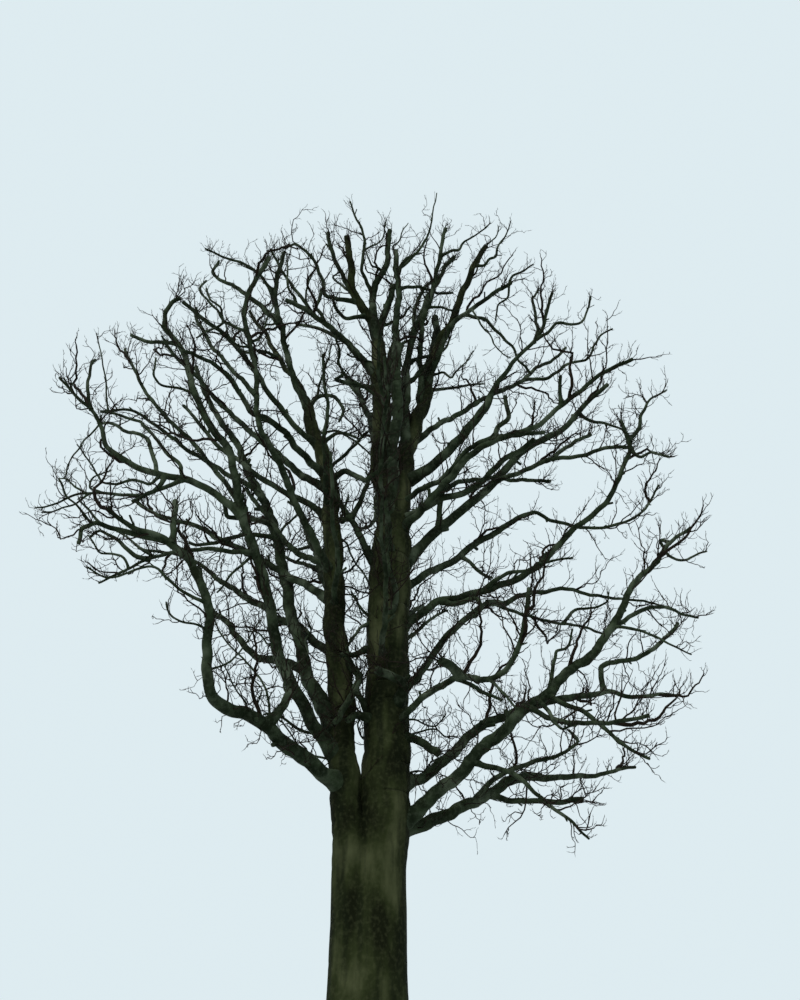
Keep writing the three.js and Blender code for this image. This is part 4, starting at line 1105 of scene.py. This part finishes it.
class Nodes:
    """A material and its nodes. Each helper adds a node and hands its result on."""

    def __init__(self, name, roughness):
        self.material = bpy.data.materials.new(name)
        self.material.use_nodes = True
        self.tree = self.material.node_tree
        self.shader = self.tree.nodes["Principled BSDF"]
        self.shader.inputs["Roughness"].default_value = roughness
        self.shader.inputs["Specular IOR Level"].default_value = SHEEN
        self.where = self.tree.nodes.new("ShaderNodeTexCoord").outputs["Object"]

    def link(self, out, into):
        self.tree.links.new(out, into)

    def fill(self, value, socket):
        """Sets a socket to a plain value, or links another node's result to it."""
        if isinstance(value, (int, float, tuple)):
            socket.default_value = value
        else:
            self.link(value, socket)

    def colour(self, value):
        self.link(value, self.shader.inputs["Base Color"])

    def noise(self, scale, detail, stretch=None):
        where = self.where
        if stretch is not None:
            mapping = self.tree.nodes.new("ShaderNodeMapping")
            mapping.inputs["Scale"].default_value = stretch
            mapping.inputs["Location"].default_value = NOISE_START
            self.link(where, mapping.inputs["Vector"])
            where = mapping.outputs["Vector"]
        node = self.tree.nodes.new("ShaderNodeTexNoise")
        node.inputs["Scale"].default_value = scale
        node.inputs["Detail"].default_value = detail
        self.link(where, node.inputs["Vector"])
        return node.outputs["Fac"]

    def ramp(self, value, stops):
        """Colours at rising values, blended between them."""
        node = self.tree.nodes.new("ShaderNodeValToRGB")
        elements = node.color_ramp.elements
        while len(elements) < len(stops):
            elements.new(0.5)
        for element, (position, colour) in zip(elements, stops):
            element.position = position
            element.color = colour
        self.link(value, node.inputs["Fac"])
        return node.outputs["Color"]

    def share(self, value, low, high):
        """Nothing up to a low value and everything from a high one."""
        return self.ramp(value, [(low, NO_SHARE), (high, WHOLE_SHARE)])

    def mix(self, share, first, second):
        node = self.tree.nodes.new("ShaderNodeMix")
        node.data_type = "RGBA"
        self.link(share, node.inputs["Factor"])
        self.fill(first, node.inputs["A"])
        self.fill(second, node.inputs["B"])
        return node.outputs["Result"]

    def maths(self, operation, first, second):
        node = self.tree.nodes.new("ShaderNodeMath")
        node.operation = operation
        node.use_clamp = True
        self.fill(first, node.inputs[0])
        self.fill(second, node.inputs[1])
        return node.outputs["Value"]

    def bump(self, height, strength, distance):
        node = self.tree.nodes.new("ShaderNodeBump")
        node.inputs["Strength"].default_value = strength
        node.inputs["Distance"].default_value = distance
        self.link(height, node.inputs["Height"])
        self.link(node.outputs["Normal"], self.shader.inputs["Normal"])

    def upward(self, vector):
        """The part of a vector that points up."""
        parts = self.tree.nodes.new("ShaderNodeSeparateXYZ")
        self.link(vector, parts.inputs["Vector"])
        return parts.outputs["Z"]

    def facing_up(self):
        return self.upward(self.tree.nodes.new("ShaderNodeNewGeometry").outputs["Normal"])


def bark_material(name, colours, stretch, run):
    """Smooth grey-brown bark: soft pale patches, dark stains that run down, and moss on top."""
    made = Nodes(name, roughness=0.9)
    dark, middle, pale, stain = colours
    patches = made.noise(scale=1.9, detail=5, stretch=stretch)
    bark = made.ramp(patches, [(0.38, dark), (0.52, middle), (0.68, pale)])
    running = made.share(made.noise(scale=3.6, detail=5, stretch=run), low=0.46, high=0.6)
    stained = made.mix(made.maths("MULTIPLY", running, STAIN_SHARE), bark, stain)
    speckle = made.share(made.noise(scale=14, detail=8), low=0.48, high=0.75)
    grained = made.mix(made.maths("MULTIPLY", speckle, SPECKLE_SHARE), stained, pale)
    moss = made.ramp(made.noise(scale=6, detail=6), [(0.3, MOSS_DARK), (0.7, MOSS)])
    slope = made.maths("SUBTRACT", made.facing_up(), MOSS_SLOPE)
    upper = made.maths("MULTIPLY", slope, MOSS_BY_SLOPE)
    height = made.maths("MULTIPLY", made.upward(made.where), MOSS_BY_METRE)
    low = made.maths("SUBTRACT", MOSS_AT_FOOT, height)
    spots = made.share(made.noise(scale=1.6, detail=4), low=0.42, high=0.7)
    cover = made.maths("MULTIPLY", made.maths("MULTIPLY", upper, low), spots)
    made.colour(made.mix(cover, grained, moss))
    made.bump(made.noise(scale=50, detail=6, stretch=stretch), strength=0.4, distance=0.008)
    return made.material


def twig_material(name):
    made = Nodes(name, roughness=0.8)
    made.colour(made.ramp(made.noise(scale=9, detail=3), [(0.35, TWIG_DARK), (0.7, TWIG_MIDDLE)]))
    made.bump(made.noise(scale=80, detail=3), strength=0.3, distance=0.003)
    return made.material


trunk_bark = bark_material("trunk_bark", TRUNK_COLOURS, stretch=(1, 1, 0.45), run=(1, 1, 0.12))
bough_bark = bark_material("bough_bark", BOUGH_COLOURS, stretch=(1, 1, 1), run=(1, 1, 0.5))
twig_bark = twig_material("twig_bark")

# Trunk and stems. Each stem swells towards its neighbours within the given reach.
TRUNK_LINE = even(PLAIN["trunk"][0], STEP)
STEM_NEIGHBOURS = {
    "stem_left": [("stem_main", 130)],
    "stem_main": [("stem_left", 130), ("leader_mid", 220), ("leader_right", 220)],
    "leader_mid": [("stem_main", 240), ("leader_right", 150)],
    "leader_right": [("stem_main", 240), ("leader_mid", 150)],
}
# The main stem narrows where it ends between its two leaders.
NARROWING = 900
NARROWEST = 0.55


def as_neighbour(name, reach):
    if name == "trunk":
        return TRUNK_LINE, np.full(len(TRUNK_LINE), TRUNK_SWELL), reach
    return chain_of[name].path, chain_of[name].radii, reach


main = chain_of["stem_main"]
from_end = np.arange(len(main.radii))[::-1] * STEP
main.radii = main.radii * np.interp(from_end, (0, NARROWING), (NARROWEST, 1))

heap = Heap()
heap.add(*trunk_tube())
for place, (name, near) in enumerate(STEM_NEIGHBOURS.items()):
    chain = chain_of[name]
    neighbours = [as_neighbour(*other) for other in near]
    heap.add(*limb_tube(chain.path, chain.radii, place + 1, STEM_BARK, neighbours))
trunk = heap.made("trunk_and_stems", trunk_bark, "trunk_bark")
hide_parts("trunk", *[row[0] for row in STEMS])

# Boughs, lesser limbs and twigs, region by region.
REGIONS = ("left", "upper_left", "right", "top", "back")
# How much farther apart than the rule has them the finer kinds stand in each region, and on its
# stems and boughs.
THINNER = {"left": 1.6, "upper_left": 1.5, "right": 1.2, "top": 1.15, "back": 1}
THINNER_ON_BOUGHS = {"right": 1.6}
THICK_SPUR_GAP = 2.2
# Stems and boughs that start below this height bear shoots and curls, and the others spurs.
LOW_SHOOTS = 9500
THIN_GIRTH = 105
THICK_GIRTH = 150
# A limb ends in a tuft over its last stretch, a full one where its end is thick.
TUFT_STRETCH = 450
FULL_TUFT_RADIUS = 40
SMALLEST_TUFT = 0.5
# A limb's foot swells within so many of its radii from its parent.
FOOT_REACH = 2.2
# Stubs stand from this share of a limb on, over the next. Their radius, as a share of the limb's, and how far
# they stand out of it are a least value and a spread.
STUB_GAP = 1300
STUBS_FROM, STUBS_OVER = 0.15, 0.8
STUB_LEAN = 0.5
STUB_RADIUS, STUB_RADIUS_SPREAD = 0.32, 0.2
STUB_LENGTH, STUB_LENGTH_SPREAD = 60, 160
STUB_SHARES = (0, 0.35, 0.7, 1)


def region_of(name):
    """Which part of the crown a limb belongs to, for the joined pieces."""
    if "back" in name or "level" in name:
        return "back"
    if "top" in name or "leader" in name:
        return "top"
    if any(word in name for word in ("upper_front", "upper_crossing", "stem_tip", "left_inner")):
        return "upper_left"
    if any(word in name for word in ("left", "net_f", "net_low")):
        return "left"
    return "right"


bough_heaps = {region: Heap() for region in REGIONS}
growers = {region: Grower() for region in REGIONS}


def add_stubs(heap, path, radii, seed):
    """Short blunt stubs, as old pruning leaves them."""
    roll = dice(seed)
    total = path_length(path)
    for _ in range(int(total / STUB_GAP)):
        gone = total * (STUBS_FROM + STUBS_OVER * roll())
        point, ahead = walk(path, gone)
        here = float(np.interp(gone, np.linspace(0, total, len(radii)), radii))
        out = unit(np.cross(ahead, sway(roll)) + ahead * STUB_LEAN)
        radius = here * (STUB_RADIUS + STUB_RADIUS_SPREAD * roll())
        length = here + STUB_LENGTH + STUB_LENGTH_SPREAD * roll()
        stub = np.array([point + out * length * share for share in STUB_SHARES])
        heap.add(*limb_tube(stub, np.full(len(stub), radius), seed, STUB_BARK))


def add_twigs(row, seed):
    """Grows on a limb the kinds of twigs that suit it."""
    name, girth = row[0], row[4]
    region = region_of(name)
    path, radii = chain_of[name].part(name)
    thinner = THINNER[region]
    cleaner = THINNER_ON_BOUGHS.get(region, 1)
    spur_gap = thinner if girth < THICK_GIRTH else THICK_SPUR_GAP

    def grow(kind, **more):
        growers[region].grow(path, kind, seed + KIND_SEEDS[kind], **more)

    if row in TWIG_LIMBS:
        grow("branchlet", bare=BARE_SHARES.get(name), room=CrownRoom(name))
        grow("wanderer", apart=thinner)
        grow("spur", apart=spur_gap)
        grow("curl", bare=0.2, apart=1.6 * thinner)
        grow("whip")
        grow("runner")
    elif row in LESSER_LIMBS and girth < THIN_GIRTH:
        grow("curl", apart=0.6 if name.startswith("net") else 1.3 * thinner)
        grow("spur", bare=0.2, apart=1.8)
    elif row in LESSER_LIMBS:
        grow("branchlet", bare=0.3, apart=1.4)
        grow("curl", bare=0.2, apart=1.4 * thinner)
        grow("wanderer", bare=0.3, apart=thinner)
        grow("spur", apart=spur_gap)
    else:
        if path[:, 2].min() < LOW_SHOOTS:
            grow("shoot", apart=1.3 * cleaner, radii=radii)
            grow("curl", bare=0.15, apart=0.6 * cleaner, radii=radii)
        else:
            grow("spur", bare=0.3, apart=spur_gap)
        grow("wanderer", bare=0.3, apart=0.8, radii=radii)
        if row in BOUGHS or name.startswith("leader"):
            grow("runner", bare=0.3)
        grow("whip", radii=radii)


for place, chain in enumerate(chains):
    if chain.names[0] in STEM_NEIGHBOURS:
        continue
    region = region_of(chain.names[0])
    neighbours = [as_neighbour(chain.parent, FOOT_REACH * float(chain.radii[0]))]
    heap = bough_heaps[region]
    heap.add(*limb_tube(chain.path, chain.radii, LIMB_SEED + place, BOUGH_BARK, neighbours))
    add_stubs(heap, chain.path, chain.radii, STUB_SEED + place)
    end = chain.path[-round(TUFT_STRETCH / STEP):]
    size = float(np.clip(chain.radii[-1] / FULL_TUFT_RADIUS, SMALLEST_TUFT, 1))
    growers[region].grow(end, "tuft", TUFT_SEED + place, size=size)
for place, row in enumerate(ROWS):
    add_twigs(row, place + 1)
for region in REGIONS:
    boughs = bough_heaps[region].made("boughs_" + region, bough_bark, "bough_bark")
    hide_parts(*[row[0] for row in BOUGHS if region_of(row[0]) == region])
    twigs = growers[region].heap().made("twigs_" + region, twig_bark, "twigs")
    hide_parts(*[row[0] for row in TWIG_LIMBS if region_of(row[0]) == region])

# Floor, light and camera, in metres. The camera stands on the ground and looks up at the crown.
FLOOR_HALF = 200
SKY_STRENGTH = 1.0
SUN_STRENGTH = 2.4
SUN_SOFTNESS = 60
SUN_TILT = 42
SUN_TURN = -35
CAMERA_PLACE = (0.54, -15.5, 1.6)
CAMERA_TILT = 33.5
LENS = 28.87
SENSOR = 36
FARTHEST = 500

floor_mesh = bpy.data.meshes.new("floor")
corners = [(x * FLOOR_HALF, y * FLOOR_HALF, 0) for x, y in ((-1, -1), (1, -1), (1, 1), (-1, 1))]
floor_mesh.from_pydata(corners, [], [(0, 1, 2, 3)])
floor_paint = Nodes("floor_paint", roughness=0.9)
floor_noise = floor_paint.noise(scale=0.3, detail=2)
floor_paint.colour(floor_paint.ramp(floor_noise, [(0.3, FLOOR_DARK), (0.7, FLOOR_PALE)]))
floor_mesh.materials.append(floor_paint.material)
floor = placed("floor", floor_mesh)

world = bpy.data.worlds.new("sky")
bpy.context.scene.world = world
world.use_nodes = True
background = world.node_tree.nodes["Background"]
background.inputs["Color"].default_value = SKY
background.inputs["Strength"].default_value = SKY_STRENGTH

sun = placed("soft_light", bpy.data.lights.new("soft_light", "SUN"))
sun.data.energy = SUN_STRENGTH
sun.data.angle = math.radians(SUN_SOFTNESS)
sun.rotation_euler = (math.radians(SUN_TILT), 0, math.radians(SUN_TURN))

camera = placed("camera", bpy.data.cameras.new("camera"))
camera.data.sensor_width = SENSOR
camera.data.lens = LENS
camera.data.clip_end = FARTHEST
camera.location = CAMERA_PLACE
camera.rotation_euler = (math.radians(90 + CAMERA_TILT), 0, 0)
bpy.context.scene.camera = camera
bpy.context.scene.view_settings.view_transform = "Standard"
